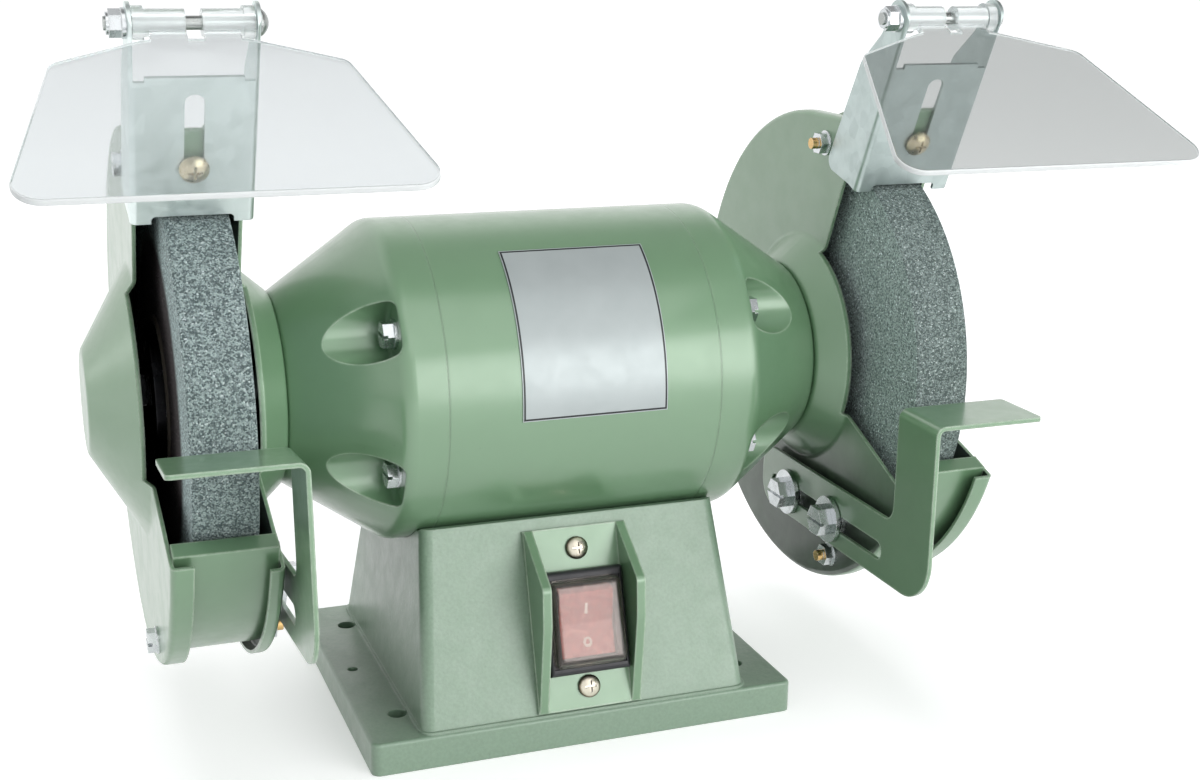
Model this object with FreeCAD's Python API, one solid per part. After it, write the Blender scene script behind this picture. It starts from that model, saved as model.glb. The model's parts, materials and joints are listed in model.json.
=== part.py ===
"""Electric double-ended bench grinder with 150 mm wheels, one STEP file per sub-part.

Frame: millimetres. +X runs along the spindle, -Y is the operator's side and +Z is up.
The origin lies in the underside of the foot, midway between its four bench holes.
Pieces that belong to the spindle are drawn about the X axis and then raised by SHAFT_Z.
The right half is drawn and the left half is its mirror image, except the shield brackets
with their hinge bolts, which are the same part on both sides.
"""
import FreeCAD, Part
import math
import os

# ---- driving dimensions ----
SHAFT_Z = 119.2             # height of the spindle above the bench
WHEEL_R = 75.0
WHEEL_W = 20.0
WHEEL_X = 121.6             # middle of a wheel
WHEEL_BORE_R = 6.35
SHEET = 1.2                 # guard and bracket sheet
RUN_GAP = 0.3               # air between pieces of different bodies
SCREW_GAP = 0.1             # a screw hole is this much larger than its screw, in radius
M3_R = 1.5
M4_R = 2.0
M5_R = 2.5
M6_R = 3.0
EPS = 1.0                   # overshoot of a cutting tool

# foot and pedestal
FOOT_HALF = (76.5, 60.75)
FOOT_H = 11.4
FOOT_CORNER_R = 3.0
BENCH_HOLE = (63.0, 40.0)
BENCH_HOLE_R = 3.3
PEDESTAL_FOOT = (59.0, 59.0)
PEDESTAL_TOP = (53.4, 38.8)
PEDESTAL_TOP_Z = 75.8
PEDESTAL_EDGE_R = 4.0
CASTING_WALL = 5.0
SADDLE_ROOF = 6.0
COVER_SCREW_X = 69.5
REBATE = 2.0
FOOT_EDGE_R = 1.2
WELT = 0.8                  # cast welt where the pedestal meets the foot
BENCH_BOSS_R = 8.0
COVER_BOSS_R = 5.0
MOUNT_BOSS = (6.5, 4.0)     # radius and height of the pads under the saddle
SADDLE_RELIEF = (1.2, 1.6)  # radial and upright size of the groove along the saddle's rim
SWITCH_OPENING = (13.3, 15.0, 47.3)

# motor
SHELL_R = 55.6
SHELL_BORE_R = 51.4
SHELL_HALF = 47.6
BELL_LIP_X = 60.6
BELL_END_X = 95.1
BELL_END_R = 32.0
BELL_WALL = 4.0
SPIGOT_X = 42.2
SPIGOT_R = (47.8, 51.3)
POCKET_R = 9.7
POCKET_RADIAL = 49.5
POCKET_FLOOR_X = 61.3
BELL_SCREW_RADIAL = 47.0
BELL_SCREW_ANGLE = 29.55    # each side of the horizontal plane
BELL_CLOCKING = 2.65        # the bells sit turned by this much, front side up
BEARING = (7.5, 10.2, 14.6, 17.5)   # 6202: bore, inner land, outer land, outside radius
BEARING_X = (79.0, 90.0)
ROTOR_R = 30.0
STATOR_BORE_R = 30.4
STACK_HALF = 22.0
WINDING_X = 38.0
WINDING_R = (32.5, 42.0)

# guards, about the spindle
GUARD_R = 88.15
PAN_RIM = 4.7
COVER_RIM = 7.0
PAN_X = 105.8
COVER_X = 139.7
BEND_R = 2.0
PAN_DISH = (33.0, 42.5)     # seat radius, dish mouth radius
PAN_HOLE_R = 20.0
COVER_DISH = (17.1, 45.0)   # nose radius, dish mouth radius
COVER_NOSE_X = 155.9
HORN_REACH = 60.0
HORN_FOOT_Z = 60.0
MOUTH_R = 40.6
MOUTH_TOP = (-27.5, 67.0)   # corners of the guards' mouth, y and z
MOUTH_UPPER = (-14.4, 38.0)
MOUTH_LOWER = (-36.9, -16.9)
MOUTH_BOW = 165.0           # degrees round from the rear, middle of the bow
MOUTH_RIM_Y = -98.0
PAN_MOUTH_Z = -42.0         # where the mouth's lower edge would meet MOUTH_RIM_Y
COVER_MOUTH_Z = -35.0
BAND_R = 83.8
BAND_END = 199.5            # degrees round from the rear, front end of the spark band
LIP_R = 77.3
GUARD_SCREW_R = 26.5        # pitch radius of the three screws that hold a pan to its bell
COVER_BOLTS = ((-32.0, -73.0), (-13.0, 78.0), (78.4, -12.0))
COVER_BOLT_HEX = (7.0, 2.8, 3.2)    # across flats, head height, nut height
COVER_WASHER = (4.5, 0.8)           # radius, thickness

# shield bracket, in its own leaning frame: y inwards, z along the slope
BRACKET_FOOT = (-39.5, 66.0)
BRACKET_LEAN = 25.18
BRACKET_X = 122.75
BRACKET_HALF = 18.5
BRACKET_TOP = 46.4
PAD = (1.5, 3.1, 6.0, 28.0)          # front, back, bottom and top of the spark band's pad
BRACKET_SCREW_Z = 16.0
BRACKET_SLOT = (2.9, 14.5, 38.0)     # half width, centres of the two ends
HINGE_AT = (6.0, 61.6)
EAR_R = 6.0
HINGE_R = 2.0
BARREL_R = 4.0
BARREL_IN = 2.4                      # inner end of each barrel from the middle
COLLAR_R = 4.9
COLLAR_W = 3.2
SHIELD_TILT = {1: 60.7, -1: 62.3}    # from vertical, right and left
SHIELD_T = 2.0
SHIELD_TOP = 8.0                     # hinge axis to the plate's upper edge
SHIELD_DROP = 81.0                   # hinge axis to the plate's lower edge
SHIELD_SHOULDER = (40.5, 20.0)
SHIELD_HALF = 56.0
SHIELD_WEB = 12.5                    # outer end of the webs that carry the barrels

# tool rests
REST_T = 1.5
REST_X = 101.8
REST_END_X = 142.0
REST_FRONT = -104.8
REST_BACK = -80.8
REST_TOP = -3.0
REST_TAIL = 19.0
REST_ARM = (9.7, 13.3)                  # slot's middle to the arm's lower and upper edges
REST_BOLTS = (-4.0, -37.0)
REST_SLOT = (3.25, -57.0, -71.0, 8.0)   # half width, height, centres of the two ends
REST_WASHER = (8.6, 1.6)                # radius, thickness
REST_BOLT_HEX = (10.0, 4.8)             # across flats, head height
REST_BOSS_R = 6.0
LEFT_REST_TURN = 5.7                    # the left rest is set nose up
LEFT_REST_SHIFT = -5.0                  # and further out

# switch, in the frame of the pedestal's front slope: y inwards, z up the slope
SWITCH_HALF = (14.5, 13.5, 48.8)
SWITCH_MID = 31.15
BEZEL_PROUD = 6.0
ROCKER_HALF = 9.7
ROCKER_R = 12.5
ROCKER_PIVOT_Y = -0.5
ROCKER_REST = 9.0
CHEEK_OUT = 18.7
CHEEK_IN = 15.2
CHEEK_NOTCH = 0.3                       # cheeks stand this far inside the plate's sides
PLATE_T = 1.5
BOOT = (13.1, 16.0, 46.0)               # half width, bottom and top
BOOT_WALL = 1.0

ORIGIN = FreeCAD.Vector(0, 0, 0)
X_AXIS = FreeCAD.Vector(1, 0, 0)


# ---- drawing helpers ----
def vec(x, y, z):
    return FreeCAD.Vector(x, y, z)


def box(x, y, z):
    """Block between the pairs x, y and z."""
    return Part.makeBox(x[1] - x[0], y[1] - y[0], z[1] - z[0], vec(x[0], y[0], z[0]))


def rod(radius, start, end):
    """Cylinder from one point to another."""
    along = end.sub(start)
    return Part.makeCylinder(radius, along.Length, start, along)


def x_rod(radius, x, y=0.0, z=0.0):
    return rod(radius, vec(x[0], y, z), vec(x[1], y, z))


def x_ring(outer, inner, x, y=0.0, z=0.0):
    return x_rod(outer, x, y, z).cut(x_rod(inner, x, y, z))


def y_rod(radius, y, x, z):
    return rod(radius, vec(x, y[0], z), vec(x, y[1], z))


def z_rod(radius, z, x, y):
    return rod(radius, vec(x, y, z[0]), vec(x, y, z[1]))


def joined(shapes):
    """All the shapes as one solid."""
    first, *others = shapes
    return first.fuse(others).removeSplitter()


def grouped(shapes):
    """Separate solids kept in one sub-part."""
    return Part.makeCompound(list(shapes))


def outline(corners, place):
    """Closed wire through corners (u, v, radius), each rounded by a tangent arc."""
    edges = []
    arcs = []
    count = len(corners)
    for i, (u, v, radius) in enumerate(corners):
        here = vec(u, v, 0)
        if not radius:
            arcs.append((here, None, here))
            continue
        back = vec(*corners[i - 1][:2], 0).sub(here).normalize()
        ahead = vec(*corners[(i + 1) % count][:2], 0).sub(here).normalize()
        half = back.getAngle(ahead) / 2
        reach = radius / math.tan(half)
        middle = back.add(ahead).normalize().multiply(radius / math.sin(half) - radius)
        arcs.append((here + back * reach, here + middle, here + ahead * reach))
    for i, (start, middle, end) in enumerate(arcs):
        if middle is not None:
            edges.append(Part.Arc(place(start), place(middle), place(end)).toShape())
        following = arcs[(i + 1) % count][0]
        if end.distanceToPoint(following) > 1e-6:
            edges.append(Part.makeLine(place(end), place(following)))
    return Part.Wire(edges)


def sharp(points):
    return [(u, v, 0) for u, v in points]


def slab(corners, x):
    """Outline in (y, z), extruded over the pair x."""
    wire = outline(corners, lambda p: vec(x[0], p.x, p.y))
    return Part.Face(wire).extrude(vec(x[1] - x[0], 0, 0))


def plate(corners, y):
    """Outline in (x, z), extruded over the pair y."""
    wire = outline(corners, lambda p: vec(p.x, y[0], p.y))
    return Part.Face(wire).extrude(vec(0, y[1] - y[0], 0))


def prism(corners, z):
    """Outline in (x, y), extruded over the pair z."""
    wire = outline(corners, lambda p: vec(p.x, p.y, z[0]))
    return Part.Face(wire).extrude(vec(0, 0, z[1] - z[0]))


def turned(corners):
    """Outline in (x, radius), turned about the X axis."""
    wire = outline(corners, lambda p: vec(p.x, 0, p.y))
    return Part.Face(wire).revolve(ORIGIN, X_AXIS, 360)


def sheet_outline(path, thickness):
    """Closed outline of a folded sheet: path (u, v, radius) on one face, the other face
    lies to its right. Outer and inner bends share one centre."""
    normals = []
    for (u0, v0, _), (u1, v1, _) in zip(path, path[1:]):
        length = math.hypot(u1 - u0, v1 - v0)
        normals.append(((v1 - v0) / length, (u0 - u1) / length))
    other = []
    for i, (u, v, radius) in enumerate(path):
        before = normals[max(i - 1, 0)]
        after = normals[min(i, len(normals) - 1)]
        scale = thickness / (1 + before[0] * after[0] + before[1] * after[1])
        turn = before[0] * after[1] - before[1] * after[0]
        grown = radius + math.copysign(thickness, turn) if radius else 0
        shift = ((before[0] + after[0]) * scale, (before[1] + after[1]) * scale)
        other.append((u + shift[0], v + shift[1], max(grown, 0)))
    return path + other[::-1]


def pin_slot(half_width, y, z):
    """Closed slot outline between the centres y at height z, in (y, z)."""
    near, far = y
    return [
        (near - half_width, z - half_width, half_width * 0.99),
        (far + half_width, z - half_width, half_width * 0.99),
        (far + half_width, z + half_width, half_width * 0.99),
        (near - half_width, z + half_width, half_width * 0.99),
    ]


def hexagon(across_flats, x, y=0.0, z=0.0):
    """Hexagonal prism along X."""
    radius = across_flats / math.sqrt(3)
    points = [
        (y + radius * math.cos(math.radians(60 * k)), z + radius * math.sin(math.radians(60 * k)))
        for k in range(6)
    ]
    return slab(sharp(points), x)


def rounded(shape, radius, chosen):
    """Shape with the edges that chosen() accepts rounded."""
    edges = [edge for edge in shape.Edges if chosen(edge)]
    return shape.makeFillet(radius, edges)


def on_shaft(shape):
    lifted = shape.copy()
    lifted.translate(vec(0, 0, SHAFT_Z))
    return lifted


def mirrored(shape):
    return shape.mirror(ORIGIN, X_AXIS)


def both_sides(shape):
    return grouped([shape, mirrored(shape)])


def leaning(shape, x_middle):
    """Shape drawn in the bracket's frame, placed on the guard whose middle is x_middle."""
    placed = shape.copy()
    place = FreeCAD.Placement(vec(x_middle, *BRACKET_FOOT), FreeCAD.Rotation(X_AXIS, BRACKET_LEAN))
    placed.Placement = place.multiply(placed.Placement)
    return placed


def on_slope(shape):
    """Shape drawn in the frame of the pedestal's front slope, placed on the pedestal."""
    drop = PEDESTAL_TOP_Z - FOOT_H
    lean = math.degrees(math.atan2(PEDESTAL_FOOT[1] - PEDESTAL_TOP[1], drop))
    placed = shape.copy()
    place = FreeCAD.Placement(vec(0, -PEDESTAL_FOOT[1], FOOT_H), FreeCAD.Rotation(X_AXIS, -lean))
    placed.Placement = place.multiply(placed.Placement)
    return placed


def turned_about(shape, angle, y=0.0, z=0.0):
    """Shape turned about an X-parallel axis, positive angles raising the front."""
    copy = shape.copy()
    copy.rotate(vec(0, y, z), X_AXIS, -angle)
    return copy


def polar(radius, degrees):
    """(y, z) of a point: 0 is the rear, 90 the top and 180 the front."""
    angle = math.radians(degrees)
    return radius * math.cos(angle), radius * math.sin(angle)


def slotted(head, x_top, y, z, width=1.2, depth=1.4, reach=6.0):
    """Screwdriver slot in the outer end of a head whose axis runs along X."""
    return head.cut(box((x_top - depth, x_top + 1), (y - reach, y + reach),
                        (z - width / 2, z + width / 2)))


# ---- foot and pedestal ----
def corners_of(half, radius):
    """Rounded rectangle about the Z axis, half sizes in x and y."""
    return [(sx * half[0], sy * half[1], radius) for sx, sy in ((-1, -1), (1, -1), (1, 1), (-1, 1))]


def block(half, z, corner):
    """Upright block with rounded corners."""
    return prism(corners_of(half, corner), z)


def tapered(half_low, half_high, z, corner):
    """Tapered block between two rounded rectangles."""
    wires = [outline(corners_of(half, corner), lambda p, height=height: vec(p.x, p.y, height))
             for half, height in ((half_low, z[0]), (half_high, z[1]))]
    return Part.makeLoft(wires, True, True)


def pedestal_half(z, inset=0.0):
    """Half sizes of the pedestal at height z, less an inset."""
    share = (z - FOOT_H) / (PEDESTAL_TOP_Z - FOOT_H)
    return [low + (high - low) * share - inset for low, high in zip(PEDESTAL_FOOT, PEDESTAL_TOP)]


def shell_cylinder(radius):
    return x_rod(radius, (-2 * BELL_END_X, 2 * BELL_END_X), 0, SHAFT_Z)


def foot_holes(radius, z):
    return [z_rod(radius, z, sx * BENCH_HOLE[0], sy * BENCH_HOLE[1])
            for sx in (-1, 1) for sy in (-1, 1)]


def cover_screw_holes(radius, z):
    return [z_rod(radius, z, sx * COVER_SCREW_X, 0) for sx in (-1, 1)]


MOUNT_SCREWS = [(sx * 32.0, sy * 9.0) for sx in (-1, 1) for sy in (-1, 1)]
SWITCH_SCREWS_Z = (8.6, 56.1)
SWITCH_SCREW_R = 1.7
GLAND_AT = (24.0, 16.0)     # x, and distance up the rear slope
GLAND_R = 8.0
CORD_R = 3.6


def base_casting():
    foot = block(FOOT_HALF, (0, FOOT_H), FOOT_CORNER_R)
    foot = rounded(foot, FOOT_EDGE_R, lambda e: e.BoundBox.ZMin > FOOT_H - 0.1)
    span = (FOOT_H - EPS, PEDESTAL_TOP_Z)
    pedestal = tapered(pedestal_half(span[0]), pedestal_half(span[1]), span, PEDESTAL_EDGE_R)
    welt = block([half + WELT for half in PEDESTAL_FOOT], (FOOT_H - EPS, FOOT_H + WELT),
                 PEDESTAL_EDGE_R + WELT)
    span = (FOOT_H - CASTING_WALL - EPS, PEDESTAL_TOP_Z)
    hollow = tapered(pedestal_half(span[0], CASTING_WALL), pedestal_half(span[1], CASTING_WALL),
                     span, PEDESTAL_EDGE_R)
    hollow = hollow.cut(shell_cylinder(SHELL_R + SADDLE_ROOF))
    underside = block([half - CASTING_WALL for half in FOOT_HALF],
                      (-EPS, FOOT_H - CASTING_WALL), FOOT_CORNER_R)
    rebate = block([half - REBATE for half in FOOT_HALF], (-EPS, REBATE), REBATE)
    bosses = foot_holes(BENCH_BOSS_R, (0, FOOT_H - EPS))
    bosses += cover_screw_holes(COVER_BOSS_R, (REBATE, FOOT_H - EPS))
    for x, y in MOUNT_SCREWS:
        seat = screw_seat_z(y)
        bosses.append(z_rod(MOUNT_BOSS[0], (seat, seat + MOUNT_BOSS[1]), x, y))
    body = joined([foot, pedestal, welt]).cut(hollow).cut(underside).cut(rebate)
    body = joined([body] + bosses).cut(shell_cylinder(SHELL_R + 0.1))
    relief = shell_cylinder(SHELL_R + SADDLE_RELIEF[0])
    relief = relief.common(block(PEDESTAL_FOOT, (PEDESTAL_TOP_Z - SADDLE_RELIEF[1],
                                                 PEDESTAL_TOP_Z), PEDESTAL_EDGE_R))
    through = (-EPS, FOOT_H + EPS)
    holes = foot_holes(BENCH_HOLE_R, through) + cover_screw_holes(M4_R - SCREW_GAP, through)
    holes += [z_rod(M5_R + SCREW_GAP, (0, SHAFT_Z), x, y) for x, y in MOUNT_SCREWS]
    half, low, high = SWITCH_OPENING
    wall = (-CASTING_WALL, 2 * CASTING_WALL)
    opening = box((-half, half), wall, (low, high))
    screws = [y_rod(SWITCH_SCREW_R + SCREW_GAP, wall, 0, z) for z in SWITCH_SCREWS_Z]
    holes += [on_slope(shape) for shape in [opening] + screws]
    gland = y_rod(GLAND_R + 2 * SCREW_GAP, wall, -GLAND_AT[0], GLAND_AT[1])
    holes.append(rear_side(gland))
    return body.cut([relief] + holes)


def rear_side(shape):
    """Shape drawn on the front slope, carried to the rear slope by a half turn."""
    placed = on_slope(shape)
    placed.rotate(ORIGIN, vec(0, 0, 1), 180)
    return placed


def base_cover_plate():
    cover = block([half - REBATE - RUN_GAP for half in FOOT_HALF], (0.3, REBATE - 0.1), 2)
    sinks = [Part.makeCone(4.1, 2.3, 1.6, vec(side * COVER_SCREW_X, 0, 0.3)) for side in (-1, 1)]
    return cover.cut(foot_holes(8.4, (-1, 3)) + sinks
                     + [z_rod(1.6, (-1, 3), x, y) for x, y in CLAMP_SCREWS])


def base_cover_screws():
    """Countersunk M4 screws, flush with the cover plate."""
    screws = []
    for side in (-1, 1):
        shank = z_rod(1.8, (0.5, 9.0), side * COVER_SCREW_X, 0)
        head = Part.makeCone(3.6, 1.8, 1.5, vec(side * COVER_SCREW_X, 0, 0.35))
        screws.append(joined([shank, head]))
    return grouped(screws)


def screw_seat_z(y):
    """Height of the flat pads under the saddle that the mount screws bear on."""
    reach = abs(y) - MOUNT_BOSS[0]
    return SHAFT_Z - math.sqrt((SHELL_R + SADDLE_ROOF) ** 2 - reach ** 2) - 0.2


def motor_mount_screws():
    """M5 screws from inside the pedestal, up through the saddle into the shell."""
    screws = []
    head_r, head_h, washer_r, washer_t = 4.2, 3.5, 5.0, 1.0
    for x, y in MOUNT_SCREWS:
        seat = screw_seat_z(y) - SCREW_GAP
        under = seat - washer_t
        head = z_rod(head_r, (under - head_h, under), x, y)
        shank = z_rod(M5_R, (under - SCREW_GAP, SHAFT_Z - SHELL_BORE_R + 4.9), x, y)
        washer = z_rod(washer_r, (under, seat), x, y)
        screws.append(joined([head, washer, shank]))
    return grouped(screws)


# ---- electrical pieces inside the pedestal ----
CAPACITOR_R = 15.0
CAPACITOR_Z = 2.2 + CAPACITOR_R
CAPACITOR_Y = 24.0
CLAMP_SCREWS = [(x, CAPACITOR_Y - 21.5) for x in (-24.0, 4.0)]
TERMINAL_AT = (34.0, 0.0, 2.2)


def run_capacitor():
    can = x_rod(CAPACITOR_R, (-42, 22), CAPACITOR_Y, CAPACITOR_Z)
    can = rounded(can, 1.5, lambda e: len(e.Vertexes) == 1)
    studs = [x_rod(1.5, (22, 30), CAPACITOR_Y + dy, CAPACITOR_Z) for dy in (-6, 6)]
    return joined([can] + studs)


def capacitor_clamp():
    """Strap over the capacitor with two ears screwed to the cover plate."""
    straps = []
    for x, y in CLAMP_SCREWS:
        span = (x - 5, x + 5)
        strap = x_ring(CAPACITOR_R + 1.1, CAPACITOR_R + 0.1, span, CAPACITOR_Y, CAPACITOR_Z)
        strap = strap.cut(box((x - 6, x + 6), (-60, 60), (0, CAPACITOR_Z)))
        legs = [box(span, (CAPACITOR_Y + s * (CAPACITOR_R + 0.6) - 0.5,
                           CAPACITOR_Y + s * (CAPACITOR_R + 0.6) + 0.5),
                    (2.2, CAPACITOR_Z)) for s in (-1, 1)]
        ear = box(span, (y - 4, CAPACITOR_Y - CAPACITOR_R - 0.6), (2.2, 3.2))
        screw = joined([z_rod(1.5, (0.6, 4), x, y), z_rod(2.8, (3.2, 5.0), x, y)])
        straps.append(joined([strap, ear, screw] + legs))
    return grouped(straps)


def terminal_block():
    """Three-way terminal block with its screw wells and wire holes."""
    x0, y0, z0 = TERMINAL_AT
    pitch = 9.0
    body = box((x0 - 7, x0 + 7), (y0 - 1.5 * pitch, y0 + 1.5 * pitch), (z0, z0 + 13))
    cuts = []
    for k in (-1, 0, 1):
        y = y0 + k * pitch
        cuts.append(x_rod(2.2, (x0 - 8, x0 + 8), y, z0 + 5))
        cuts += [z_rod(2.4, (z0 + 7, z0 + 14), x0 + dx, y) for dx in (-3.5, 3.5)]
    cuts += [box((x0 - 8, x0 + 8), (y0 + k * pitch - 0.8, y0 + k * pitch + 0.8),
                 (z0 + 9, z0 + 14)) for k in (-0.5, 0.5)]
    return body.cut(cuts)


def cable_gland():
    """Screwed gland through the rear wall: collar, hexagon dome and threaded neck."""
    x, z = -GLAND_AT[0], GLAND_AT[1]
    neck = y_rod(GLAND_R, (0, 14), x, z)
    collar = y_rod(10.5, (-2.5, 0), x, z)
    flats = hexagon(19.0, (0, 5))
    flats.rotate(ORIGIN, vec(0, 0, 1), -90)
    flats.translate(vec(x, -2.5, z))
    dome = Part.makeCone(9.0, 5.5, 6, vec(x, -7.5, z), vec(0, -1, 0))
    gland = joined([neck, collar, flats, dome]).cut(y_rod(CORD_R, (-20, 20), x, z))
    return rear_side(gland)


def cable_gland_nut():
    nut = hexagon(22.0, (0, 4.0))
    nut.rotate(ORIGIN, vec(0, 0, 1), 90)
    nut.translate(vec(-GLAND_AT[0], CASTING_WALL, GLAND_AT[1]))
    thread = y_rod(GLAND_R + SCREW_GAP, (0, 20), -GLAND_AT[0], GLAND_AT[1])
    return rear_side(nut.cut(thread))


# ---- switch ----
def switch_plate():
    """Cover plate with two cheek walls that shield the rocker from a knock."""
    low, high = 1.2, 63.5
    base = box((-CHEEK_OUT, CHEEK_OUT), (-PLATE_T, 0), (low, high))
    profile = [(0, low, 0), (-PLATE_T, low, 0), (-14.2, 31.0, 12), (-17.4, 44.4, 3),
               (-PLATE_T, high, 0), (0, high, 0)]
    outer = CHEEK_OUT - CHEEK_NOTCH
    cheeks = [slab(profile, x) for x in ((-outer, -CHEEK_IN), (CHEEK_IN, outer))]
    half, bottom, top = [size + shift for size, shift in zip(SWITCH_OPENING, (0.2, -0.2, 0.2))]
    through = (-PLATE_T - EPS, EPS)
    holes = [box((-half, half), through, (bottom, top))]
    holes += [y_rod(SWITCH_SCREW_R + 3 * SCREW_GAP, through, 0, z) for z in SWITCH_SCREWS_Z]
    return on_slope(joined([base] + cheeks).cut(holes))


def cross_recess(y, z, size=2.0, depth=1.0):
    """Cross recess of a screw head, drawn on the slope at height z."""
    arms = [box((-a, a), (y - 0.2, y + depth), (z - b, z + b))
            for a, b in ((size, 0.4), (0.4, size))]
    return arms


def switch_plate_screws():
    screws = []
    for z in SWITCH_SCREWS_Z:
        crown = -PLATE_T - 2.6
        head = Part.makeSphere(5.4, vec(0, crown + 5.4, z))
        head = head.common(y_rod(3.9, (crown, -PLATE_T), 0, z))
        shank = y_rod(SWITCH_SCREW_R, (-PLATE_T - SCREW_GAP, 11), 0, z)
        screws.append(on_slope(joined([head, shank]).cut(cross_recess(crown, z))))
    return grouped(screws)


def boot_block(grow, y):
    """Block of the boot's outline, grown all round, over the pair y."""
    half, low, high = BOOT
    return box((-half - grow, half + grow), y, (low - grow, high + grow))


def switch_housing():
    """Snap-in rocker switch body: bezel, walled well and four blades."""
    half, low, high = SWITCH_HALF
    bezel = box((-half, half), (-BEZEL_PROUD, -PLATE_T), (low, high))
    bezel = rounded(bezel, 1.5, lambda e: abs(e.BoundBox.YMax + BEZEL_PROUD) < 0.1)
    body = box((-13.0, 13.0), (-PLATE_T - SCREW_GAP, 24), (15.3, 47.0))
    well = box((-ROCKER_HALF - 0.4, ROCKER_HALF + 0.4), (-10, 14),
               (SWITCH_MID - ROCKER_R - 0.4, SWITCH_MID + ROCKER_R + 0.4))
    blades = [box((x - 0.4, x + 0.4), (24, 32), (z - 3.1, z + 3.1))
              for x in (-6.0, 6.0) for z in (SWITCH_MID - 8, SWITCH_MID + 8)]
    pivots = x_rod(1.55, (-ROCKER_HALF - 1.6, ROCKER_HALF + 1.6), ROCKER_PIVOT_Y, SWITCH_MID)
    groove = boot_block(SCREW_GAP, (-BEZEL_PROUD - 0.5, -BEZEL_PROUD + 1.0))
    groove = groove.cut(boot_block(-BOOT_WALL - SCREW_GAP, (-BEZEL_PROUD - 1, -BEZEL_PROUD + 2)))
    return on_slope(joined([bezel, body] + blades).cut([well, pivots, groove]))


def switch_rocker():
    """Rocker with two dished faces, drawn with its lower half pressed."""
    ends = x_rod(ROCKER_R, (-ROCKER_HALF, ROCKER_HALF), ROCKER_PIVOT_Y, SWITCH_MID)
    top = SWITCH_MID + 14
    low = SWITCH_MID - 14
    face = [(4.5, low, 0), (-6.6, low, 0), (-4.2, SWITCH_MID, 4), (-6.6, top, 0), (4.5, top, 0)]
    body = ends.common(slab(face, (-ROCKER_HALF, ROCKER_HALF)))
    pins = x_rod(1.5, (-ROCKER_HALF - 1.3, ROCKER_HALF + 1.3), ROCKER_PIVOT_Y, SWITCH_MID)
    rocker = joined([body, pins])
    rocker.rotate(vec(0, ROCKER_PIVOT_Y, SWITCH_MID), X_AXIS, ROCKER_REST)
    return on_slope(rocker)


def switch_boot():
    """Soft clear boot over the rocker, its skirt held in the bezel's groove."""
    crown, rim = -9.7, -5.1
    outer = boot_block(0, (crown, rim))
    outer = rounded(outer, 3.0, lambda e: e.BoundBox.YMax < rim - 0.1 or e.BoundBox.YLength > 4)
    inner = boot_block(-BOOT_WALL, (crown + 0.8, rim + EPS))
    inner = rounded(inner, 2.0, lambda e: e.BoundBox.YMax < rim - 0.1)
    return on_slope(outer.cut(inner))


# ---- motor ----
def bell_angles():
    """Angles of the bell screws, from the rear and round over the top."""
    pattern = (BELL_SCREW_ANGLE, -BELL_SCREW_ANGLE, 180 - BELL_SCREW_ANGLE, 180 + BELL_SCREW_ANGLE)
    return [angle - BELL_CLOCKING for angle in pattern]


def motor_shell():
    """Tube with tapped bosses for the bell screws and for the screws of the saddle."""
    tube = x_ring(SHELL_R, SHELL_BORE_R, (-SHELL_HALF, SHELL_HALF))
    bosses = []
    holes = []
    for side in (-1, 1):
        span = sorted((side * 24.0, side * (SPIGOT_X - 0.5)))
        for angle in bell_angles():
            y, z = polar(BELL_SCREW_RADIAL, angle)
            bosses.append(x_rod(4.6, span, y, z))
            holes.append(x_rod(M5_R + SCREW_GAP, span, y, z))
    for x, y in MOUNT_SCREWS:
        bosses.append(z_rod(5.5, (-SHELL_BORE_R - 2, -45.0), x, y))
        holes.append(z_rod(M5_R + SCREW_GAP, (-SHELL_R - 2, -44.0), x, y))
    bosses = [boss.common(x_rod(SHELL_BORE_R + 1, (-SHELL_HALF, SHELL_HALF))) for boss in bosses]
    return on_shaft(joined([tube] + bosses).cut(holes))


def bell_outside():
    """Outer form of a bell: short lip, then a cone down to the end face."""
    return [(SHELL_HALF, SHELL_R, 0), (BELL_LIP_X, SHELL_R, 9), (BELL_END_X, BELL_END_R, 3)]


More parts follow.
